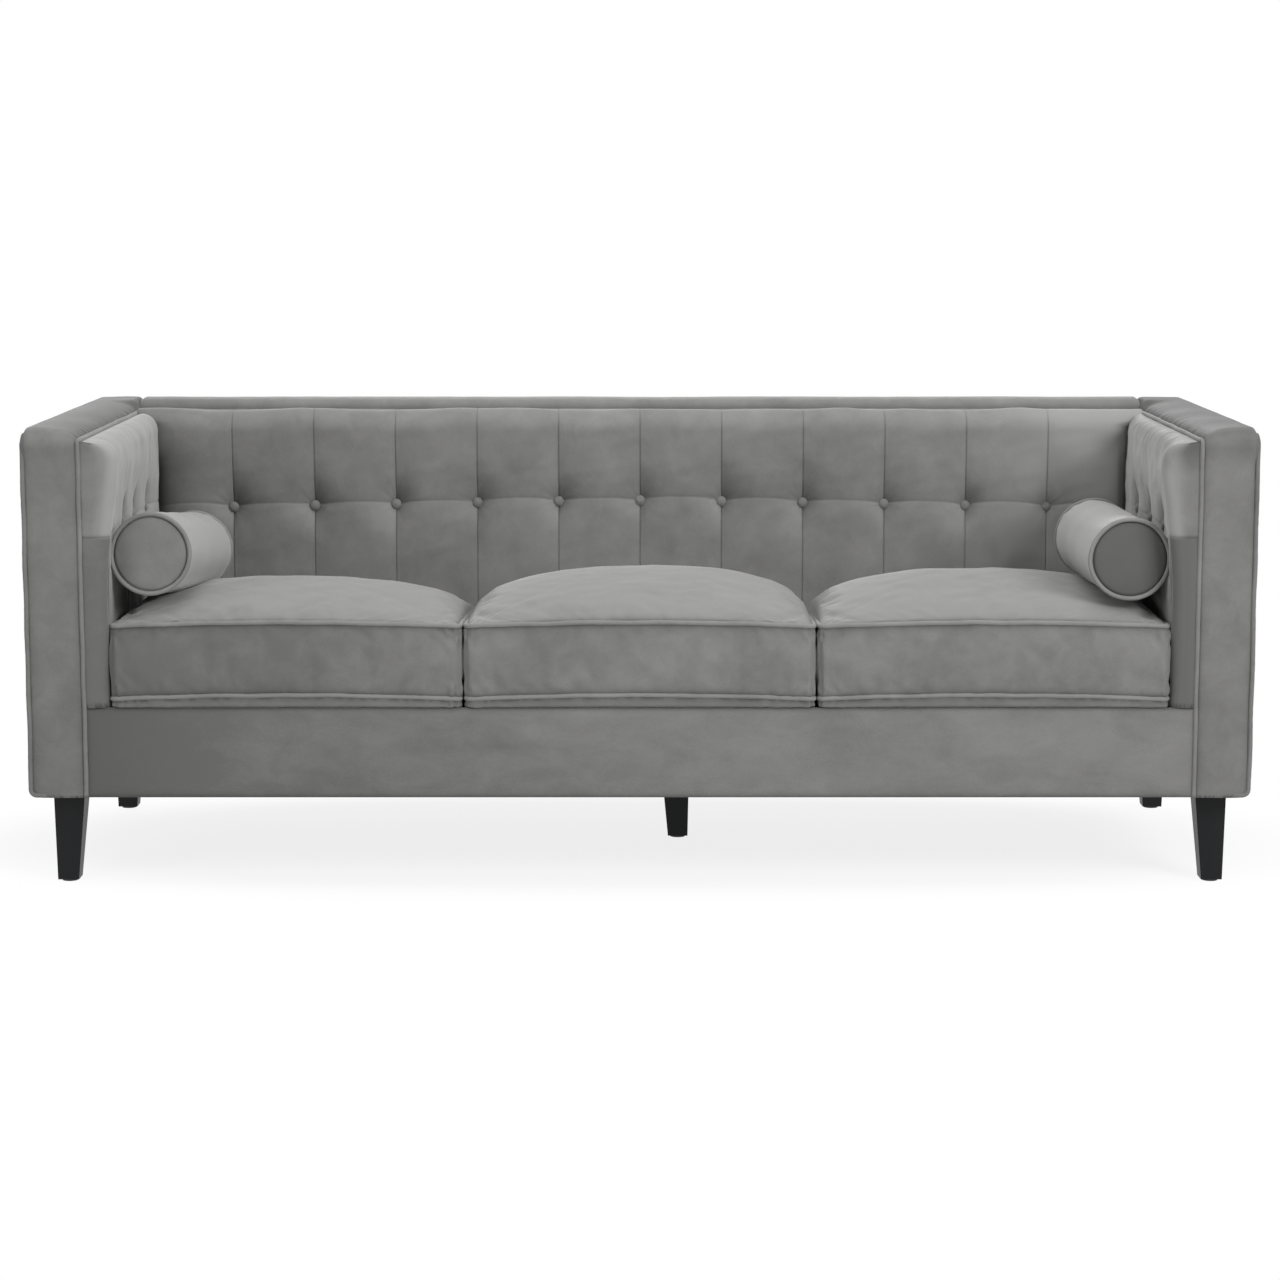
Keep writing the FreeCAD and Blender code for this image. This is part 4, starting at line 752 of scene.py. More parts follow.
# Back pad: pairs named At or Until are where something starts and ends, as x, z or depth behind the face;
# the shades are painted shadow beside the arm pads: strength, reach and what is taken off; the ends are also
# darkened by painted shade, and the right part is lightened by painted light against the right arm's shadow
backPad = {"face": 0.2165, "backing": 0.2625, "rollStart": 0.752, "crest": 0.7925, "rollDepth": 0.040,
           "seamDip": 0.0016, "lineDip": 0.0014, "lineWidth": 0.0009, "valleyDip": 0.0125,
           "valleyWidth": 0.026, "gatherReach": 0.048, "buttonDip": 0.0085, "creaseValley": 0.0036,
           "creaseLine": 0.0009, "creaseRise": 0.0085, "puff": 0.0024, "seamMark": 0.38, "perColumn": 38,
           "rows": (44, 40, 20, 6),
           "closing": 0.001, "innerDrop": 0.015, "rollFade": 0.45, "fadeFrom": 0.055,
           "wander": (0.0012, 0.11), "fineWander": (0.0003, 0.035), "wanderUntil": (0.06, 0.03),
           "topWave": (0.0016, 0.3), "topWaveAt": (0.74, 0.78),
           "endDip": 0.018, "endWidth": 0.016, "endRoll": 0.4, "wideFrom": 0.9, "wideAt": (0.0005, 0.006),
           "lean": 0.1, "endLean": -0.55, "endPaintedShadeWidth": 0.02, "endPaintedShadeAt": (1.2, -0.6),
           "rightLean": 0.7, "rightPaintedLightAt": (0.55, 0.85), "nearArmAt": (0.79, 0.89),
           "nearArmUntil": (0.76, 0.69),
           "shadeFrom": 0.018, "shadeUntil": (0.76, 0.68), "leftShade": (1.42, 0.038, 0.06),
           "rightShade": (0.7, 0.004, 0.0)}
padEndX = padX - cord["radius"] * cord["hidden"]


def makeBackPad():
    # the profile carried across the back with the tufting pressed in, and a plain sheet behind it
    pad = backPad
    half = tuft["pitch"] * tuft["columns"] / 2
    seams = np.linspace(-half, half, tuft["columns"] + 1)
    x = columnPlaces(seams, pad["perColumn"])[:, None]
    fromEnd = half - np.abs(x)
    reach = backY - cord["radius"] - pad["face"]
    z, back = (v[None, :] for v in padProfile(pad, span("back_tufted_cover")[0][2], pad["closing"], reach))
    fade = 1 - pad["rollFade"] * smooth(pad["rollStart"], pad["crest"], z)
    fade = fade * (1 - smooth(pad["fadeFrom"], reach, back))
    depth, seam, arch, pull = tuftField(x, z, seams, pad, 51, fade)
    base = joined(x, pad["face"] + back, z)
    normals = surfaceNormals(base, np.array([0, -1, 0.2]))
    wander = waves(base[..., [0, 2]], pad["wander"], 52) + waves(base[..., [0, 2]], pad["fineWander"], 53)
    depth = depth - wander * smooth(*pad["wanderUntil"], back)
    onFace = 1 - smooth(0, pad["endRoll"] * pad["rollDepth"], back)
    depth = depth + pad["endDip"] * fading(fromEnd, pad["endWidth"]) * onFace
    outer = base - normals * depth[..., None]
    outer[..., 2] += (arch - tuftDroop(x)) * bell(z - tuft["height"], tuft["archWidth"])
    outer[..., 2] += waves(joined(x, 0 * z), pad["topWave"], 54) * smooth(*pad["topWaveAt"], z)
    innerY = np.maximum(pad["backing"], pad["face"] + back)
    inner = joined(x, innerY, np.minimum(z, seamZ - pad["innerDrop"]))
    # behind the arm pads the top reaches out to the piping at both ends
    wide = (padEndX - half) * smooth(pad["wideFrom"], 1, np.abs(x) / half) * smooth(*pad["wideAt"], back)
    for sheet in (outer, inner):
        sheet[..., 0] += wide * np.sign(x)
    # painted shade at the ends beside the arm pads, mostly the left, and painted light over the right part
    # and near the right arm
    ends = pad["endLean"] * fading(fromEnd, pad["endPaintedShadeWidth"]) * smooth(*pad["endPaintedShadeAt"], x)
    nearArm = smooth(*pad["nearArmAt"], x) * smooth(*pad["nearArmUntil"], z)
    lean = pad["lean"] + pull + ends + pad["rightLean"] * (smooth(*pad["rightPaintedLightAt"], x) + nearArm)
    # painted shadow beside the arm pads, put into the seam mark
    fromArm = np.clip(fromEnd - pad["shadeFrom"], 0, None)
    left, right = (strength * fading(fromArm, shadeReach) - less
                   for strength, shadeReach, less in (pad["leftShade"], pad["rightShade"]))
    seam = np.maximum(seam, np.where(x < 0, left, right) * smooth(*pad["shadeUntil"], z))
    piece = addPiece("backTuftedPad", shellGrids(outer, inner, {"seam": seam, "lean": lean}),
                     ["back_tufted_cover"])


# Arm pads: pairs whose names end in Y, Z, Above, From, Until or Turned are where something starts and ends;
# the others are a depth and a width, or a height and a length of waves
armPad = {"face": 0.922, "backing": 0.948, "rollStart": 0.750, "crest": 0.7855, "rollDepth": 0.028,
          "seamDip": 0.0, "lineDip": 0.0020, "lineWidth": 0.0028, "valleyDip": 0.024, "valleyWidth": 0.010,
          "gatherReach": 0.05, "buttonDip": 0.005, "creaseValley": 0.002, "creaseLine": 0.001,
          "creaseRise": 0.003, "puff": 0.0006, "seamMark": 0.75, "perColumn": 44, "rows": (44, 40, 20, 5),
          "turnRows": 11, "capRows": 16, "closing": 0.003, "innerDrop": 0.012, "innerSetBack": 0.006,
          "frontOut": 0.0012, "frontTurn": 0.021, "frontPuff": 0.0015, "frontTuck": (0.0022, 0.0012),
          "leastRoom": 0.02, "frontLine": (0.0014, 0.0018), "deckFollow": 0.25, "leastFade": 0.02,
          "fadeAbove": (0.012, 0.062), "fadeFrom": 0.02,
          "hollow": 0.005, "hollowAt": 0.01, "hollowHeight": 0.07,
          "hollowFrontY": (-0.34, -0.22), "hollowRearY": (0.20, 0.1), "press": 0.004, "pressZ": (0.52, 0.45),
          "fullFront": 0.016, "fullFrontY": (-0.30, -0.385), "fullFrontZ": (0.51, 0.72),
          "fullSide": 0.006, "fullSideY": (0.22, 0.0), "fullSideZ": (0.655, 0.74),
          "pleat": 0.0008, "pleatLength": 0.11, "pleatSlant": 0.75, "pleatWander": (3.0, 0.18),
          "pleatLeast": -0.3, "pleatZ": (0.715, 0.775),
          "pleatRearY": (0.12, 0.0), "pleatFrontY": (-0.40, -0.36),
          "wander": (0.0011, 0.1), "fineWander": (0.0004, 0.035), "hugFrom": 0.5, "leastHug": 0.3,
          "foot": 0.003, "footHeight": 0.03, "taperY": (0.1, 0.22), "leftTaper": 0.0, "rightTaper": 0.009,
          "frontFall": 0.006, "fallY": (-0.2, -0.39), "fallZ": (0.70, 0.785), "bolsterGap": 0.0015,
          # the face is lightened by painted light; the folds, the roll and the low front are darkened by
          # painted shade
          "lean": 1.2, "paintedLightUntil": (0.1, 0.6), "pull": 0.3, "foldLean": -0.9, "foldReach": 0.012,
          "foldFrom": 0.02, "rollPaintedShadeFrom": 0.03, "lowFrom": (0.001, -0.005), "lowTurned": (-0.02, 0.12),
          "lowY": (-0.335, -0.375), "leftFrontLean": 0.1, "rightFrontLean": -0.2, "leftLowLean": -0.5,
          "rightLowLean": -0.74, "leftRollLean": -0.15, "rightRollLean": -0.9}


def makeArmPad(side, word):
    # the profile is carried from the rear to the front, turned round the front edge and closed towards the
    # piping; worked out for the right arm, and its x mirrored for the left one
    pad = armPad
    front = frontY - pad["frontOut"]
    rear = span(word + "_arm_tufted_cover")[1][1]
    first, pitch = tuft[word]
    places = [first + pitch * step for step in range(tuft["armTufts"])]
    seams = np.array([front + pad["frontTurn"]] + places + [rear])
    y = columnPlaces(seams, pad["perColumn"])[::-1][:, None]
    bottom = deckHigh[2]
    reach = padEndX - pad["face"]
    z, back = (v[None, :] for v in padProfile(pad, bottom, pad["closing"], reach))
    fromLine = z - tuft["height"]
    fade = pad["leastFade"] + (1 - pad["leastFade"]) * (1 - smooth(*pad["fadeAbove"], fromLine))
    fade = fade * (1 - smooth(pad["fadeFrom"], reach, back))
    depth, seam, arch, pull = tuftField(y, z, seams, pad, 60 + side, fade)
    onDeck = np.clip(1 - (z - bottom) / pad["deckFollow"], 0, 1)  # only the lower edge follows the deck
    drop = (deckHigh[2] - deckLow[2]) / (deckHigh[1] - deckLow[1])
    faceZ = z - onDeck * (y - front) * drop + arch * bell(fromLine, tuft["archWidth"])
    face = joined(pad["face"] + back, y, faceZ)
    # turned front edge, then the flat end with its tuck beside the piping
    turn = pad["frontTurn"]
    angle = np.linspace(0, pi / 2, pad["turnRows"])[1:, None]
    room = np.clip((reach - back) / turn, pad["leastRoom"], 1) * turn
    edge = joined(pad["face"] + back + room * (1 - np.cos(angle)), front + turn - turn * np.sin(angle), z)
    share = settling(pad["capRows"], 1.5)[1:, None]
    start, stop = pad["face"] + back + room, pad["face"] + reach
    capX = start + (stop - start) * share
    tuckDepth, tuckReach = pad["frontTuck"]
    puff = pad["frontPuff"] * np.sin(pi * share) - tuckDepth * fading(stop - capX, tuckReach)
    base = np.concatenate([face, edge, joined(capX, front - puff, z)])
    baseY, baseZ = base[..., 1], base[..., 2]
    rows, frontRows = len(base), len(base) - len(face)
    none = np.zeros((frontRows, z.size))
    inCap = np.concatenate([np.zeros(rows - len(share)), share[:, 0]])[:, None]
    onFront = (np.arange(rows) >= len(face))[:, None]
    onFace = 1 - onFront
    lineDepth, lineWidth = pad["frontLine"]
    line = fading(np.abs(fromLine), lineWidth) * onFront
    hollow = bell(fromLine - pad["hollowAt"], pad["hollowHeight"]) * smooth(*pad["hollowFrontY"], baseY)
    hollow = pad["hollow"] * hollow * smooth(*pad["hollowRearY"], baseY)
    fullDepth = np.concatenate([depth, none]) + lineDepth * line
    fullDepth = fullDepth + (hollow + pad["press"] * smooth(*pad["pressZ"], z)) * onFace
    # fuller towards the front and the top, tight behind the bolster; soft pleats slant down from the piping
    bulge = pad["fullFront"] * smooth(*pad["fullFrontY"], baseY) * smooth(*pad["fullFrontZ"], baseZ)
    bulge = bulge + pad["fullSide"] * smooth(*pad["fullSideZ"], baseZ) * smooth(*pad["fullSideY"], baseY)
    slant = (baseY + (baseZ - seamZ) * pad["pleatSlant"]) * 2 * pi / pad["pleatLength"]
    pleats = np.sin(slant + waves(base[..., 1:], pad["pleatWander"], 66 + side))
    pleats = np.maximum(pleats, pad["pleatLeast"]) * smooth(*pad["pleatZ"], baseZ) * pad["pleat"]
    pleats = pleats * smooth(*pad["pleatRearY"], baseY) * smooth(*pad["pleatFrontY"], baseY)
    wander = waves(base, pad["wander"], 63 + side) + waves(base, pad["fineWander"], 64 + side)
    hug = 1 - smooth(pad["hugFrom"], 1, back / reach)
    normals = surfaceNormals(base, np.array([-1, -0.2, 0.2]))
    move = (pleats + wander) * onFace * hug - fullDepth * np.maximum(hug, pad["leastHug"])
    outer = base + normals * move[..., None]
    foot = pad["foot"] * smooth(bottom + pad["footHeight"], bottom, z)
    outer[..., 0] -= (bulge + foot) * (1 - inCap) * hug
    outer[..., 0] += pad[word + "Taper"] * smooth(*pad["taperY"], baseY) * hug
    fall = pad["frontFall"] * smooth(*pad["fallY"], baseY) * smooth(*pad["fallZ"], baseZ)
    outer[..., 2] -= fall * hug * (1 - inCap)
    outer = clearBolster(outer * [side, 1, 1], word, pad["bolsterGap"])
    inner = joined(side * np.maximum(base[..., 0], pad["backing"]),
                   np.maximum(baseY, front + pad["innerSetBack"]),
                   np.minimum(baseZ, seamZ - pad["innerDrop"]))
    # painted light on the face, lighter on the left front and darker on the right front, painted shade in
    # the folds along the seams, over the roll and low on the front, and the pull round the buttons
    turned = np.concatenate([np.zeros(len(face)), np.linspace(0, 1, frontRows)])[:, None]
    lean = pad["lean"] * (1 - smooth(*pad["paintedLightUntil"], turned)) + pad[word + "FrontLean"] * turned
    toSeam = np.abs(y - seams[1:-1, None, None]).min(0)
    fold = fading(toSeam, pad["foldReach"]) * fade * smooth(-pad["foldFrom"], 0, fromLine)
    # painted shade and highlight round the buttons, and painted shade in the folds
    lean = lean + np.concatenate([pad["pull"] * pull * fade + pad["foldLean"] * fold, none])
    lean = lean + pad[word + "RollLean"] * smooth(pad["rollStart"] - pad["rollPaintedShadeFrom"], pad["crest"], z)
    # painted shade low on the front
    lower = np.maximum(smooth(*pad["lowTurned"], turned) * (turned > 0), smooth(*pad["lowY"], baseY))
    lower = lower * smooth(*pad["lowFrom"], fromLine)
    lean = lean * (1 - lower) + pad[word + "LowLean"] * lower
    seam = np.maximum(np.concatenate([seam, none]), line)
    piece = addPiece(word + "ArmTuftedPad", shellGrids(outer, inner, {"seam": seam, "lean": lean}),
                     [word + "_arm_tufted_cover"])


# Covered buttons: tuck is the share of the outline where the cloth turns under
button = {"radius": 0.0100, "height": 0.0068, "backPlace": 0.2338, "armPlace": 0.9345, "sides": 32,
          "rings": 15, "widening": 1.35, "tuck": 0.78, "turnUnder": 0.72, "waves": (0.0003, 0.007),
          "markFrom": 0.8, "mark": 0.8}


def around(first, second, radius, angle):
    # points round a centre at a radius, in the plane of two directions
    return first * (radius * np.cos(angle))[..., None] + second * (radius * np.sin(angle))[..., None]


def buttonGrid(centre, outward, seed):
    # a dome: the radius grows as a sine and the height falls as a cosine, with a tucked-in underside
    outward = np.array(outward, float)
    first = np.cross(outward, [0, 0, 1.0])
    second = np.cross(outward, first)
    angle = np.linspace(0, 2 * pi, button["sides"] + 1)[None, :]
    t = np.linspace(0, 1, button["rings"])[:, None]
    radius = button["radius"] * np.sin(np.clip(t * button["widening"], 0, 1) * pi / 2) ** 0.9
    radius = radius - np.clip(t - button["tuck"], 0, None) * button["radius"]
    spot = joined(radius * np.cos(angle), radius * np.sin(angle))
    height = button["height"] * np.cos(t * pi * button["turnUnder"]) + waves(spot, button["waves"], seed)
    points = centre + around(first, second, radius, angle) + outward * height[..., None]
    points[:, -1] = points[:, 0]
    floor = np.stack([points[-1], np.broadcast_to(points[-1, :-1].mean(0), points[-1].shape)])
    # the rim where the cloth turns under is darkened as painted shade
    return [(points, {"seam": smooth(button["markFrom"], 1, t) * button["mark"]}), (floor, {"seam": 1.0})]


def makeButtons():
    # one dome at every place where two columns and the rows meet, on the back and on both arms
    grids = []
    for index in range(1, tuft["columns"]):
        x = (index - tuft["columns"] / 2) * tuft["pitch"]
        centre = np.array([x, button["backPlace"], tuft["height"] - tuftDroop(x)])
        grids += buttonGrid(centre, (0, -1, 0), 70 + index)
    for side, word in sides:
        first, pitch = tuft[word]
        for step in range(tuft["armTufts"]):
            centre = np.array([side * button["armPlace"], first + pitch * step, tuft["height"]])
            grids += buttonGrid(centre, (-side, 0, 0), 90 + step + side)
    addPiece("coveredButtons", grids, ["tufting_buttons"])


# Loose seat cushions, tilted with the deck: left, centre and right give the height of the crown and its
# skew; fans are the front corners where pleats fan out
seat = {"slope": radians(5), "edge": 0.1418, "lowEdge": 0.0155, "fullEdge": 0.146, "fullLowEdge": 0.020,
        "padThickness": 0.018, "corner": 0.014, "left": (0.0735, -0.05), "centre": (0.0925, 0.03),
        "right": (0.0885, 0.0), "crownX": (2.3, 0.48), "crownY": (1.5, 0.75), "archTop": 0.0065,
        "archLow": 0.0070, "bulgeSide": 0.0040, "bulgeFront": 0.0055, "bulgeRear": 0.001,
        "bulgeOuter": 0.0045, "bulgeRoot": 0.55, "sideOnly": 0.9, "underRoll": 0.008, "belly": 0.0035,
        "count": 80, "sideRows": 26, "coreCount": 26, "coreRows": 8, "cordCount": 150,
        "crowding": 1.7, "sideCrowding": 1.6, "coreInset": 0.007, "bolsterGap": 0.0012,
        "holdTop": (0.93, 0.985), "holdSide": (0.09, 0.02), "holdUnder": 0.03, "mark": 1.5,
        "topMark": 0.0055, "sideMark": 0.005, "boxing": 0.12, "underMark": (0.6, 0.0012),
        "clothFrames": 12, "pressure": 1.2, "growth": 0.018, "cap": 0.0035,
        "pucker": 0.0014, "puckerLength": 0.017, "puckerFrom": 0.55, "puckerShare": 0.6,
        "puckerPatch": (0.7, 0.16), "cornerPucker": 1.6, "cornerAt": 0.30, "cornerReach": 0.05,
        "wave": (0.0009, 0.13), "fineWave": (0.0005, 0.05), "fan": 0.0024, "fanFrom": 0.6, "fanFolds": 15,
        "fanAt": (0.302, 0.300), "fanStart": 0.02, "fanReach": 0.032, "fanDepth": 0.01,
        "fans": {"left": ((1, -1),), "centre": ((-1, -1), (1, -1)), "right": ((-1, -1), (1, -1))},
        # the tops are lightened by painted light and the boxing darkened by painted shade, most at the left
        "topLean": 0.5, "paintedShadeSkew": 0.5, "leftLean": -0.38, "centreLean": -0.1, "rightLean": -0.12}
cushionLow, cushionHigh = span("centre_cushion_cover")
leanBack = (seat["fullEdge"] - seat["fullLowEdge"]) * sin(seat["slope"])
seatHalfY = (cushionHigh[1] - cushionLow[1] - leanBack) / 2 / cos(seat["slope"])
seatY = cushionLow[1] + seatHalfY * cos(seat["slope"]) - seat["fullLowEdge"] * sin(seat["slope"])
deckFront = deckLow[1] + seat["padThickness"] * sin(seat["slope"])
seatZ = deckHigh[2] - (seatY - deckFront) * tan(seat["slope"])


def toWorld(points, middleX):
    # a cushion's own frame leans back with the deck
    c, s = cos(seat["slope"]), sin(seat["slope"])
    x, y, z = points[..., 0], points[..., 1], points[..., 2]
    return joined(middleX + x, seatY + y * c + z * s, seatZ - y * s + z * c)


def roundedSquare(a, b, halfX, halfY):
    # a square's points pulled to a rectangle with round corners, ring by ring
    ring = np.maximum(np.maximum(np.abs(a), np.abs(b)), 1e-9)
    x, y = np.abs(a) / ring * halfX, np.abs(b) / ring * halfY
    corner = seat["corner"]
    dx, dy = x - (halfX - corner), y - (halfY - corner)
    inCorner = (dx > 0) & (dy > 0)
    pull = corner / np.maximum(np.hypot(dx, dy), 1e-9)
    x = np.where(inCorner, halfX - corner + dx * pull, x)
    y = np.where(inCorner, halfY - corner + dy * pull, y)
    return np.sign(a) * x * ring, np.sign(b) * y * ring


def squareBorder(t):
    # once round the square: front, right, rear, left
    ones = np.ones_like(t)
    return np.concatenate([t, ones, -t, -ones]), np.concatenate([-ones, t, ones, -t])


def cushionGrids(word, outward, halfX, halfY, inset, count, rows):
    # a square of points mapped to the plan; crown: two powers multiplied; boxing swells between the pipings,
    # more on the side that presses on an arm pad, which outward names
    crown, skew = seat[word]
    t = crowd(count, seat["crowding"])
    a, b = np.meshgrid(t, t, indexing="ij")
    ring = np.maximum(np.abs(a), np.abs(b))
    bow = 1 - (np.minimum(np.abs(a), np.abs(b)) / np.maximum(ring, 1e-9)) ** 2  # 0 at the corners
    x, y = roundedSquare(a, b, halfX, halfY)
    (powerX, rootX), (powerY, rootY) = seat["crownX"], seat["crownY"]
    shape = (1 - np.abs(a) ** powerX) ** rootX * (1 - np.abs(b) ** powerY) ** rootY
    high = seat["edge"] - inset + seat["archTop"] * bow * ring ** 4
    top = joined(x, y, high + crown * shape * (1 + skew * a))
    inward = (1 - ring) * min(halfX, halfY)
    curl = np.clip(1 - inward / seat["underRoll"], 0, 1)
    low = seat["lowEdge"] * (1 - (1 - curl ** 4) ** 0.25) + seat["archLow"] * bow * curl ** 2 + inset
    belly = seat["belly"] * np.sin(pi * curl ** 3)
    under = joined(x + np.sign(a) * belly * smooth(seat["sideOnly"], 1, np.abs(x) / halfX),
                   y + np.sign(b) * belly * smooth(seat["sideOnly"], 1, np.abs(y) / halfY), low)
    a, b = squareBorder(t)
    v = shares(rows, seat["sideCrowding"])[:, None]
    arc = (4 * v * (1 - v)) ** seat["bulgeRoot"]
    sx, sy = (part[None, :] for part in roundedSquare(a, b, halfX, halfY))
    swell = np.where(sx * outward > 0, seat["bulgeOuter"], seat["bulgeSide"])
    boxX = sx + np.sign(sx) * swell * arc * smooth(seat["sideOnly"], 1, np.abs(sx) / halfX)
    swell = np.where(sy < 0, -seat["bulgeFront"], seat["bulgeRear"])
    boxY = sy + swell * arc * smooth(seat["sideOnly"], 1, np.abs(sy) / halfY)
    bow = 1 - np.minimum(np.abs(a), np.abs(b)) ** 2
    highest = seat["edge"] - inset + seat["archTop"] * bow
    lowest = seat["lowEdge"] + seat["archLow"] * bow + inset
    boxing = joined(boxX, boxY, lowest + (highest - lowest) * v)
    holdTop = smooth(*seat["holdTop"], ring)
    fromCord = np.minimum(v, 1 - v)
    underStrength, underReach = seat["underMark"]
    seamTop, seamSide = (np.clip(seat["mark"] * fading(away, reach), 0, 1) for away, reach in (
        (inward, seat["topMark"]), (fromCord * seat["boxing"], seat["sideMark"])))
    # the top lightened by painted light, the boxing darkened by painted shade that grows towards the left
    return [(top, {"hold": holdTop, "seam": seamTop, "lean": seat["topLean"]}),
            (under, {"hold": np.maximum(holdTop, inward > seat["holdUnder"]),
                     "seam": underStrength * fading(inward, underReach)}),
            (boxing, {"hold": smooth(*seat["holdSide"], fromCord), "seam": seamSide,
                      "lean": seat[word + "Lean"] * (1 - seat["paintedShadeSkew"] * boxX / halfX)})]


def settleCloth(piece):
    # the cover as cloth a little too large for its seams, blown against them; no point moves past the cap
    mesh = piece.data
    before, hold = readPoints(mesh), np.round(readMark(mesh, "hold"), 1)
    group = piece.vertex_groups.new(name="held")
    for weight in np.unique(hold[hold > 0]):
        group.add(np.flatnonzero(hold == weight).tolist(), float(weight), "REPLACE")
    cloth = piece.modifiers.new("settle", "CLOTH")
    cloth.settings.use_pressure = True
    cloth.settings.uniform_pressure_force = seat["pressure"]
    cloth.settings.vertex_group_mass = "held"
    cloth.settings.shrink_min = -seat["growth"]
    cloth.settings.effector_weights.gravity = 0
    cloth.settings.quality = 4
    cloth.point_cache.frame_start, cloth.point_cache.frame_end = 1, seat["clothFrames"]
    for step in range(1, seat["clothFrames"] + 1):
        bpy.context.scene.frame_set(step)
    settled = piece.evaluated_get(bpy.context.evaluated_depsgraph_get()).data
    move = readPoints(settled) - before
    reach = np.linalg.norm(move, axis=1, keepdims=True)
    piece.modifiers.remove(cloth)
    piece.vertex_groups.remove(group)
    bpy.context.scene.frame_set(1)
    writePoints(mesh, before + move * np.minimum(1, seat["cap"] / np.maximum(reach, 1e-9)))


def puckerCushion(piece, word, middleX, seed):
    # small pleats stand square to the pipings and die out in a few centimetres, more of them at the corners;
    # broad soft waves lie on the crown, and short pleats fan out from some front corners
    mesh = piece.data
    points = readPoints(mesh)
    normals = np.empty(points.size, np.float32)
    mesh.vertices.foreach_get("normal", normals)
    normals = normals.reshape(-1, 3)
    seam, hold = readMark(mesh, "seam"), readMark(mesh, "hold")
    near = np.sqrt(np.sqrt(seam)) * (1 - smooth(seat["puckerFrom"], 1, seam))
    rim = points[:, :2] - [middleX, seatY]
    corner = fading(np.abs(np.abs(rim) - seat["cornerAt"]), seat["cornerReach"]).prod(1)
    onRim = rim / np.maximum(np.abs(rim).max(1, keepdims=True), 1e-6) * seat["cornerAt"]
    patch = np.clip(seat["puckerShare"] + waves(onRim, seat["puckerPatch"], seed + 4), 0, 2)
    move = ripple(onRim, seat["puckerLength"], seed + 1) * seat["pucker"] * near
    move = move * (patch + seat["cornerPucker"] * corner)
    broad = waves(points, seat["wave"], seed + 2) + waves(points, seat["fineWave"], seed + 3)
    move = move + broad * (1 - hold)
    onTop = (points[:, 2] > seatZ + seat["edge"] - seat["fanDepth"]) * (1 - smooth(seat["fanFrom"], 1, seam))
    for place in seat["fans"][word]:
        across, along = (rim - np.array(place) * seat["fanAt"]).T
        radius, angle = np.hypot(across, along), np.arctan2(along, across)
        spokes = np.sin(angle * seat["fanFolds"] + seed) * np.clip(radius / seat["fanStart"], 0, 1)
        move = move + seat["fan"] * spokes * fading(radius, seat["fanReach"]) * onTop
    writePoints(mesh, points + normals * move[:, None])


def cushionCord(halfX, halfY, height, arch, seed):
    # the outline at one height, arched between the corners, with a round tube on it
    a, b = squareBorder(np.linspace(-1, 1, seat["cordCount"])[:-1])
    x, y = roundedSquare(a, b, halfX, halfY)
    path = joined(x, y, height + arch * (1 - np.minimum(np.abs(a), np.abs(b)) ** 2))
    return tubeGrids(path, cord["radius"], True, seed)


def makeCushion(word, seed):
    # cover, core and piping share the outline; the cover is settled as cloth, puckered and smoothed
    body = word + "_cushion"
    low, high = span(body + "_cover")
    middleX, halfX = (low[0] + high[0]) / 2, (high[0] - low[0]) / 2 - cord["radius"]
    halfY = seatHalfY - cord["radius"]

    def laid(outward, inset, count, rows):
        # the grids in their place, with the bolster's dent
        grids = cushionGrids(word, outward, halfX - inset, halfY - inset, inset, count, rows)
        gap = inset + seat["bolsterGap"]
        return [(clearBolster(toWorld(grid, middleX), word, gap), marks) for grid, marks in grids]
    outward = {"left": -1, "centre": 0, "right": 1}[word]
    piece = addPiece(word + "CushionCover", laid(outward, 0, seat["count"], seat["sideRows"]),
                     [body + "_cover"], body)
    settleCloth(piece)
    puckerCushion(piece, word, middleX, seed)
    writePoints(piece.data, clearBolster(readPoints(piece.data), word, seat["bolsterGap"]))
    smoothing = piece.modifiers.new("smoothing", "SUBSURF")
    smoothing.levels = smoothing.render_levels = 1
    core = addPiece(word + "CushionCore", laid(0, seat["coreInset"], seat["coreCount"], seat["coreRows"]),
                    [body + "_core"], body, cutFoam)
    cords = []
    for height, arch in ((seat["edge"], seat["archTop"]), (seat["lowEdge"], seat["archLow"])):
        cords += [(toWorld(grid, middleX), marks)
                  for grid, marks in cushionCord(halfX, halfY, height, arch, seed + 3)]
    addPiece(word + "CushionPiping", cords, body=body)


# The bolsters' pieces, on the same axis that dents their cushions
def bolsterFrame(side, word):
    # the middle, the axis and two directions across it
    middle, axis = bolsterAxis(side, word)
    first = np.cross(axis, [0, 0, 1.0])
    first /= np.linalg.norm(first)
    return middle, axis, first, np.cross(first, axis)


def bolsterRingAt(inset):
    # how far from the middle the piping of either end lies
    return bolster["half"] - bolster["puff"] - cord["radius"] - inset


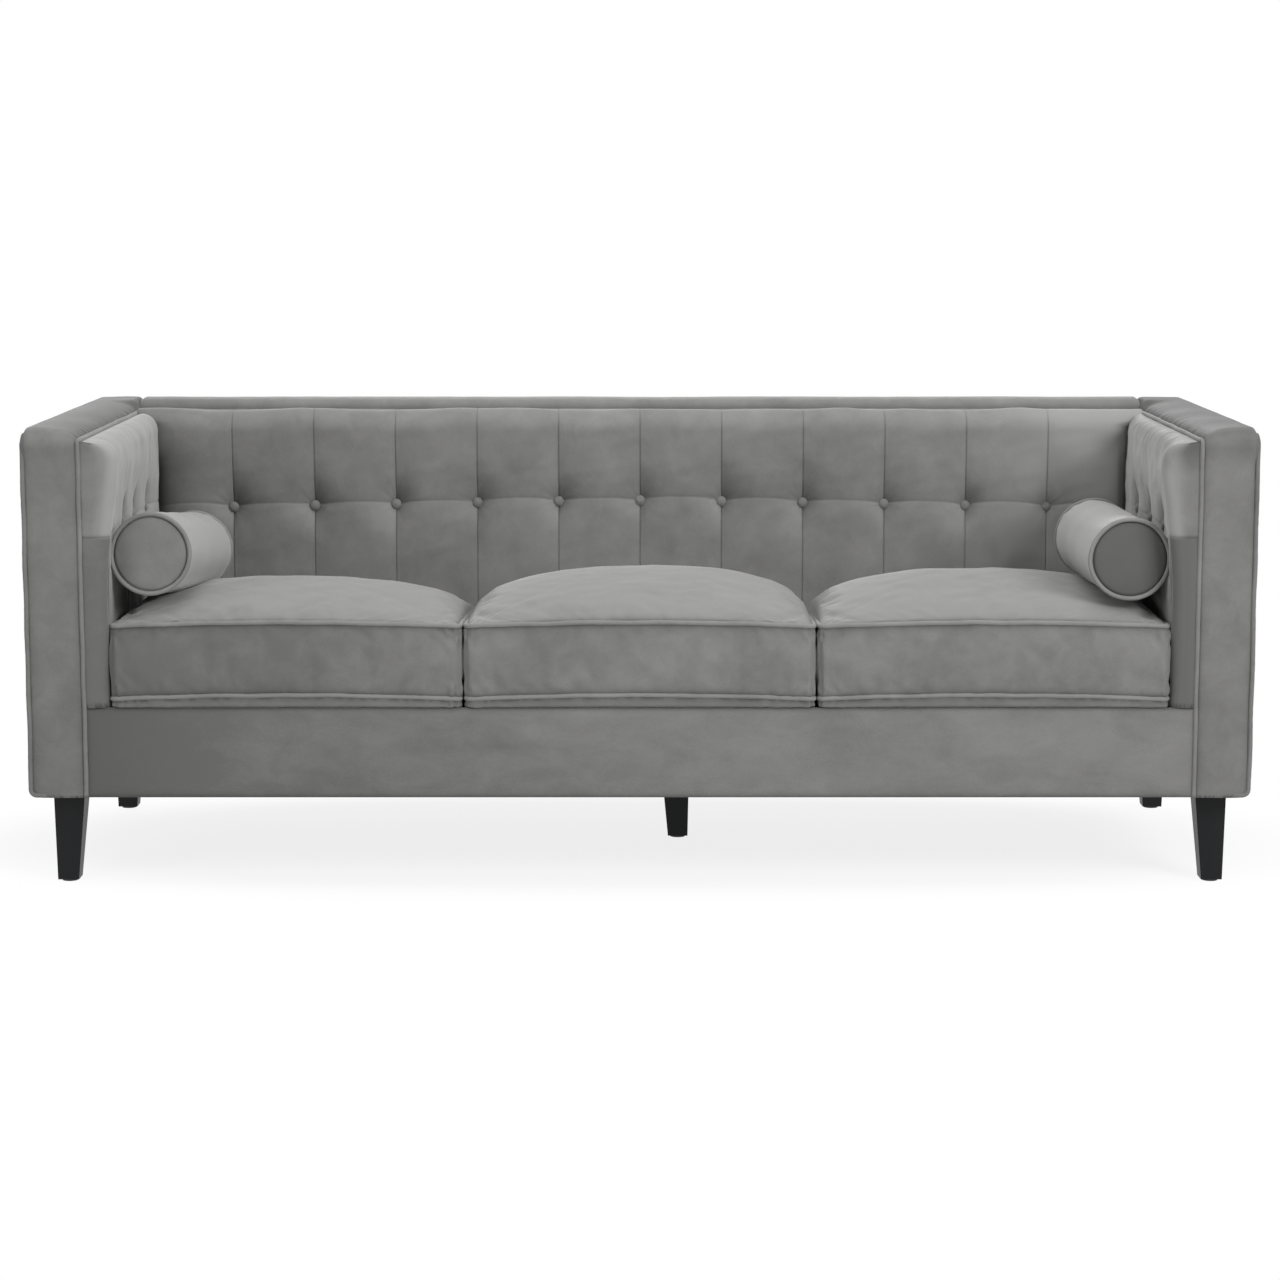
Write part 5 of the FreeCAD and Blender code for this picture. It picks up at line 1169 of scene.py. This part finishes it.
def bolsterGrids(side, word, inset, samples, seed):
    # radius along the axis, from one round end to the other, and two discs that swell towards their middles
    middle, axis, first, second = bolsterFrame(side, word)
    size, ringAt = bolster["radius"] - inset, bolsterRingAt(inset)
    angle = np.linspace(0, 2 * pi, samples[0] + 1)[None, :]
    t = crowd(samples[1], bolster["crowding"])[:, None]
    fromEnd = (1 - np.abs(t)) * ringAt
    atEnd = fading(fromEnd, bolster["tightReach"])
    tight, wide = (joined(t * ringAt * share, np.cos(angle) * size, np.sin(angle) * size)
                   for share in (bolster["pleatStretch"], 1))
    pleats = waves(tight, bolster["pleats"], seed) * fading(fromEnd, bolster["pleatReach"]) * (1 - atEnd)
    broad = waves(wide, bolster["broadWaves"], seed + 1) * (1 - t ** 6)
    radius = size - bolster["tight"] * atEnd + pleats + broad

    def place(radius, along):
        # a ring of points for each radius, closed on itself
        points = middle + around(first, second, radius, angle) + axis * (along + 0 * angle)[..., None]
        points[:, -1] = points[:, 0]
        return points
    strength, reach = bolster["edgeMark"]
    # the body lightened by painted light, the right bolster more
    marks = {"seam": strength * fading(fromEnd, reach), "lean": bolster["bodyLean"][side > 0]}
    grids = [(place(radius, t * ringAt), marks)]
    s = settling(bolster["discRows"], 1.5)[:, None]
    seamAt, seamDepth, seamWidth = bolster["discSeam"]
    fromSeam = (1 - s) * size - seamAt
    strength, markWidth = bolster["discMark"]
    # the right disc darker, the left one a little lighter
    marks = {"seam": strength * bell(fromSeam, markWidth), "lean": bolster["discLean"][side > 0]}
    for end in (-1, 1):
        rim = (size - bolster["tight"]) * s + 0 * angle
        rim[-1] = radius[0 if end < 0 else -1]
        spot = joined(rim * np.cos(angle), rim * np.sin(angle))
        disc = bolster["puff"] * bolster["discPuff"] * (1 - s ** 4)
        disc = disc + waves(spot, bolster["discWaves"], seed + 3 + end) * np.sin(pi * s)
        disc = (disc - seamDepth * bell(fromSeam, seamWidth)) * (1 - smooth(0.96, 1, s))
        grids.append((place(rim, end * (ringAt + disc)), marks))
    return grids


def makeBolster(side, word):
    # cover and fill are the same shape at two sizes; a ring of piping goes round either end
    body = word + "_bolster"
    middle, axis, first, second = bolsterFrame(side, word)
    piece = addPiece(word + "BolsterCover", bolsterGrids(side, word, 0, bolster["coverSamples"], 101 + side),
                     [body + "_cover"], body)
    grids = bolsterGrids(side, word, bolster["fillInset"], bolster["fillSamples"], 111 + side)
    fill = addPiece(word + "BolsterFill", grids, [body + "_fill"], body, cutFoam)
    angle = np.linspace(0, 2 * pi, bolster["cordSamples"] + 1)[:-1]
    ring = middle + around(first, second, bolster["radius"] - bolster["cordSink"], angle)
    rings = []
    for end in (-1, 1):
        path = ring + axis * end * (bolsterRingAt(0) + bolster["cordOut"])
        rings += tubeGrids(path, cord["radius"] * bolster["cordShare"], True, 107 + end)
    addPiece(word + "BolsterPiping", rings, body=body)


# Deck and dust cover: how far the deck lies clear of the cushions, its gaps, and the sheet under the frame
deckLook = {"clear": 0.0035, "thickness": 0.014, "frontGap": 0.004, "rearGap": 0.004, "samples": (90, 50),
            "sheetSamples": (90, 40), "sag": 0.002, "sagWaves": (0.0004, 0.12), "sheetDrop": 0.0003,
            "sheetThickness": 0.0008}


def makeDeck():
    # the board under the cushions, in plain cloth, tilted as the deck is
    run = (deckHigh[1] - deckFront) / cos(seat["slope"])
    fall = np.array([0, cos(seat["slope"]), -sin(seat["slope"])])
    out = np.array([0, sin(seat["slope"]), cos(seat["slope"])])
    origin = np.array([deckLow[0], deckFront, deckHigh[2]]) - out * deckLook["clear"]
    origin = origin + fall * deckLook["frontGap"]
    length, depth = deckHigh[0] - deckLow[0], run - deckLook["frontGap"] - deckLook["rearGap"]
    grids = panelGrids(origin, (1, 0, 0), fall, out, length, depth, 61, deckLook["samples"],
                       deckLook["thickness"])
    piece = addPiece("deckCover", grids, ["deck_pad"], "sofa_frame", platformCloth)


def makeDustCover():
    # one thin sheet pulled tight under the frame, hanging a little between its tacks
    low, high = span("dust_cover")
    across, along = deckLook["sheetSamples"]
    x, y = np.linspace(low[0], high[0], across)[:, None], np.linspace(low[1], high[1], along)[None, :]
    sag = deckLook["sag"] * (1 - (x / high[0]) ** 2) * (1 - (y / high[1]) ** 2)
    sag = sag + waves(joined(x, y), deckLook["sagWaves"], 71)
    sheetTop = joined(x, y, high[2] - deckLook["sheetDrop"] - sag)
    grids = shellGrids(sheetTop - [0, 0, deckLook["sheetThickness"]], sheetTop, {})
    piece = addPiece("dustCover", grids, ["dust_cover"], "sofa_frame", liningCloth)


makePipings()
for side, word in sides:
    makeArmBand(side, word)
makeBackBand()
makePanels()
print("bands, panels and pipings made")
makeBackPad()
for side, word in sides:
    makeArmPad(side, word)
makeButtons()
print("tufted pads made")
for seed, word in ((200, "left"), (210, "centre"), (220, "right")):
    makeCushion(word, seed)
for side, word in sides:
    makeBolster(side, word)
makeDeck()
makeDustCover()
print("cushions and bolsters made")


# Stage: floor, light and camera
stage = {"floorHalf": 6, "floorGlow": 0.832, "floorCatch": 0.16, "paleFrom": 0.86, "whiteFrom": 1.3,
         "paleShape": (0.87, 2.2, 1), "unseenFloor": 0.7, "ambient": 0.37}
# Lamps: place, target, power, width and depth
lamps = {"keyLight": ((3.2, -3.9, 3.0), (-0.1, 0, 0.45), 200, 2.2, 1.8),
         "fillLight": ((-3.4, -3.6, 1.6), (0, 0, 0.45), 55, 2.4, 2.0),
         "topLight": ((0.1, -0.1, 3.2), (0, 0, 0.4), 57, 3.0, 1.6),
         "rearLight": ((-1.2, 4.2, 2.4), (0, 0, 0.4), 45, 3.0, 1.6)}
# Camera: fitted to the photo; tilt in degrees below level, the lens and the sensor in millimetres
view = {"place": (0, -5.793, 1.232), "tilt": 8.355, "lens": 88.6, "sensor": 36}


def makeFloor():
    # a square that glows nearly white, and quite white further out; other rays see a plain pale floor
    mesh = bpy.data.meshes.new("floor")
    half = stage["floorHalf"]
    mesh.from_pydata([(-half, -half, 0), (half, -half, 0), (half, half, 0), (-half, half, 0)], [],
                     [(0, 1, 2, 3)])
    floor = addObject("floor", mesh)
    recipe = Recipe(bpy.data.materials.new("paleFloor"))
    away = recipe.node("ShaderNodeVectorMath", {"operation": "LENGTH"},
                       {0: recipe.place(stage["paleShape"])}, "Value")
    far = recipe.node("ShaderNodeMapRange", {"interpolation_type": "SMOOTHSTEP"},
                      {"Value": away, "From Min": stage["paleFrom"], "From Max": stage["whiteFrom"]})
    catch = recipe.node("ShaderNodeBsdfDiffuse", {}, {"Color": grey(stage["floorCatch"])})
    glow = recipe.node("ShaderNodeEmission", {}, {"Color": grey(1.0), "Strength": stage["floorGlow"]})
    near = recipe.node("ShaderNodeAddShader", {}, {0: catch, 1: glow})
    white = recipe.node("ShaderNodeEmission", {}, {"Color": grey(1.0), "Strength": 1.0})
    shown = recipe.node("ShaderNodeMixShader", {}, {0: far, 1: near, 2: white})
    plain = recipe.node("ShaderNodeBsdfDiffuse", {}, {"Color": grey(stage["unseenFloor"])})
    both = recipe.node("ShaderNodeMixShader", {}, {0: recipe.seen(), 1: plain, 2: shown})
    recipe.node("ShaderNodeOutputMaterial", {}, {"Surface": both})
    mesh.materials.append(recipe.owner)


def makeWorld():
    # white where it is seen, and a dim even light for everything else
    recipe = Recipe(bpy.data.worlds.new("studio"))
    ambient = recipe.node("ShaderNodeBackground", {}, {"Color": grey(1.0), "Strength": stage["ambient"]})
    white = recipe.node("ShaderNodeBackground", {}, {"Color": grey(1.0), "Strength": 1.0})
    both = recipe.node("ShaderNodeMixShader", {}, {0: recipe.seen(), 1: ambient, 2: white})
    recipe.node("ShaderNodeOutputWorld", {}, {"Surface": both})
    bpy.context.scene.world = recipe.owner


def addLamp(name, place, target, power, width, depth):
    # a rectangular area lamp turned towards its target
    data = bpy.data.lights.new(name, "AREA")
    data.shape, data.size, data.size_y, data.energy = "RECTANGLE", width, depth, power
    lamp = addObject(name, data)
    lamp.location = place
    lamp.rotation_euler = (Vector(target) - Vector(place)).to_track_quat("-Z", "Y").to_euler()


makeFloor()
makeWorld()
for lampName, settings in lamps.items():
    addLamp(lampName, *settings)
cameraData = bpy.data.cameras.new("photoCamera")
cameraData.lens, cameraData.sensor_width = view["lens"], view["sensor"]
camera = addObject("photoCamera", cameraData)
camera.location = view["place"]
camera.rotation_euler = (radians(90 - view["tilt"]), 0, 0)
bpy.context.scene.camera = camera
bpy.context.scene.view_settings.view_transform = "Standard"
print("stage set")
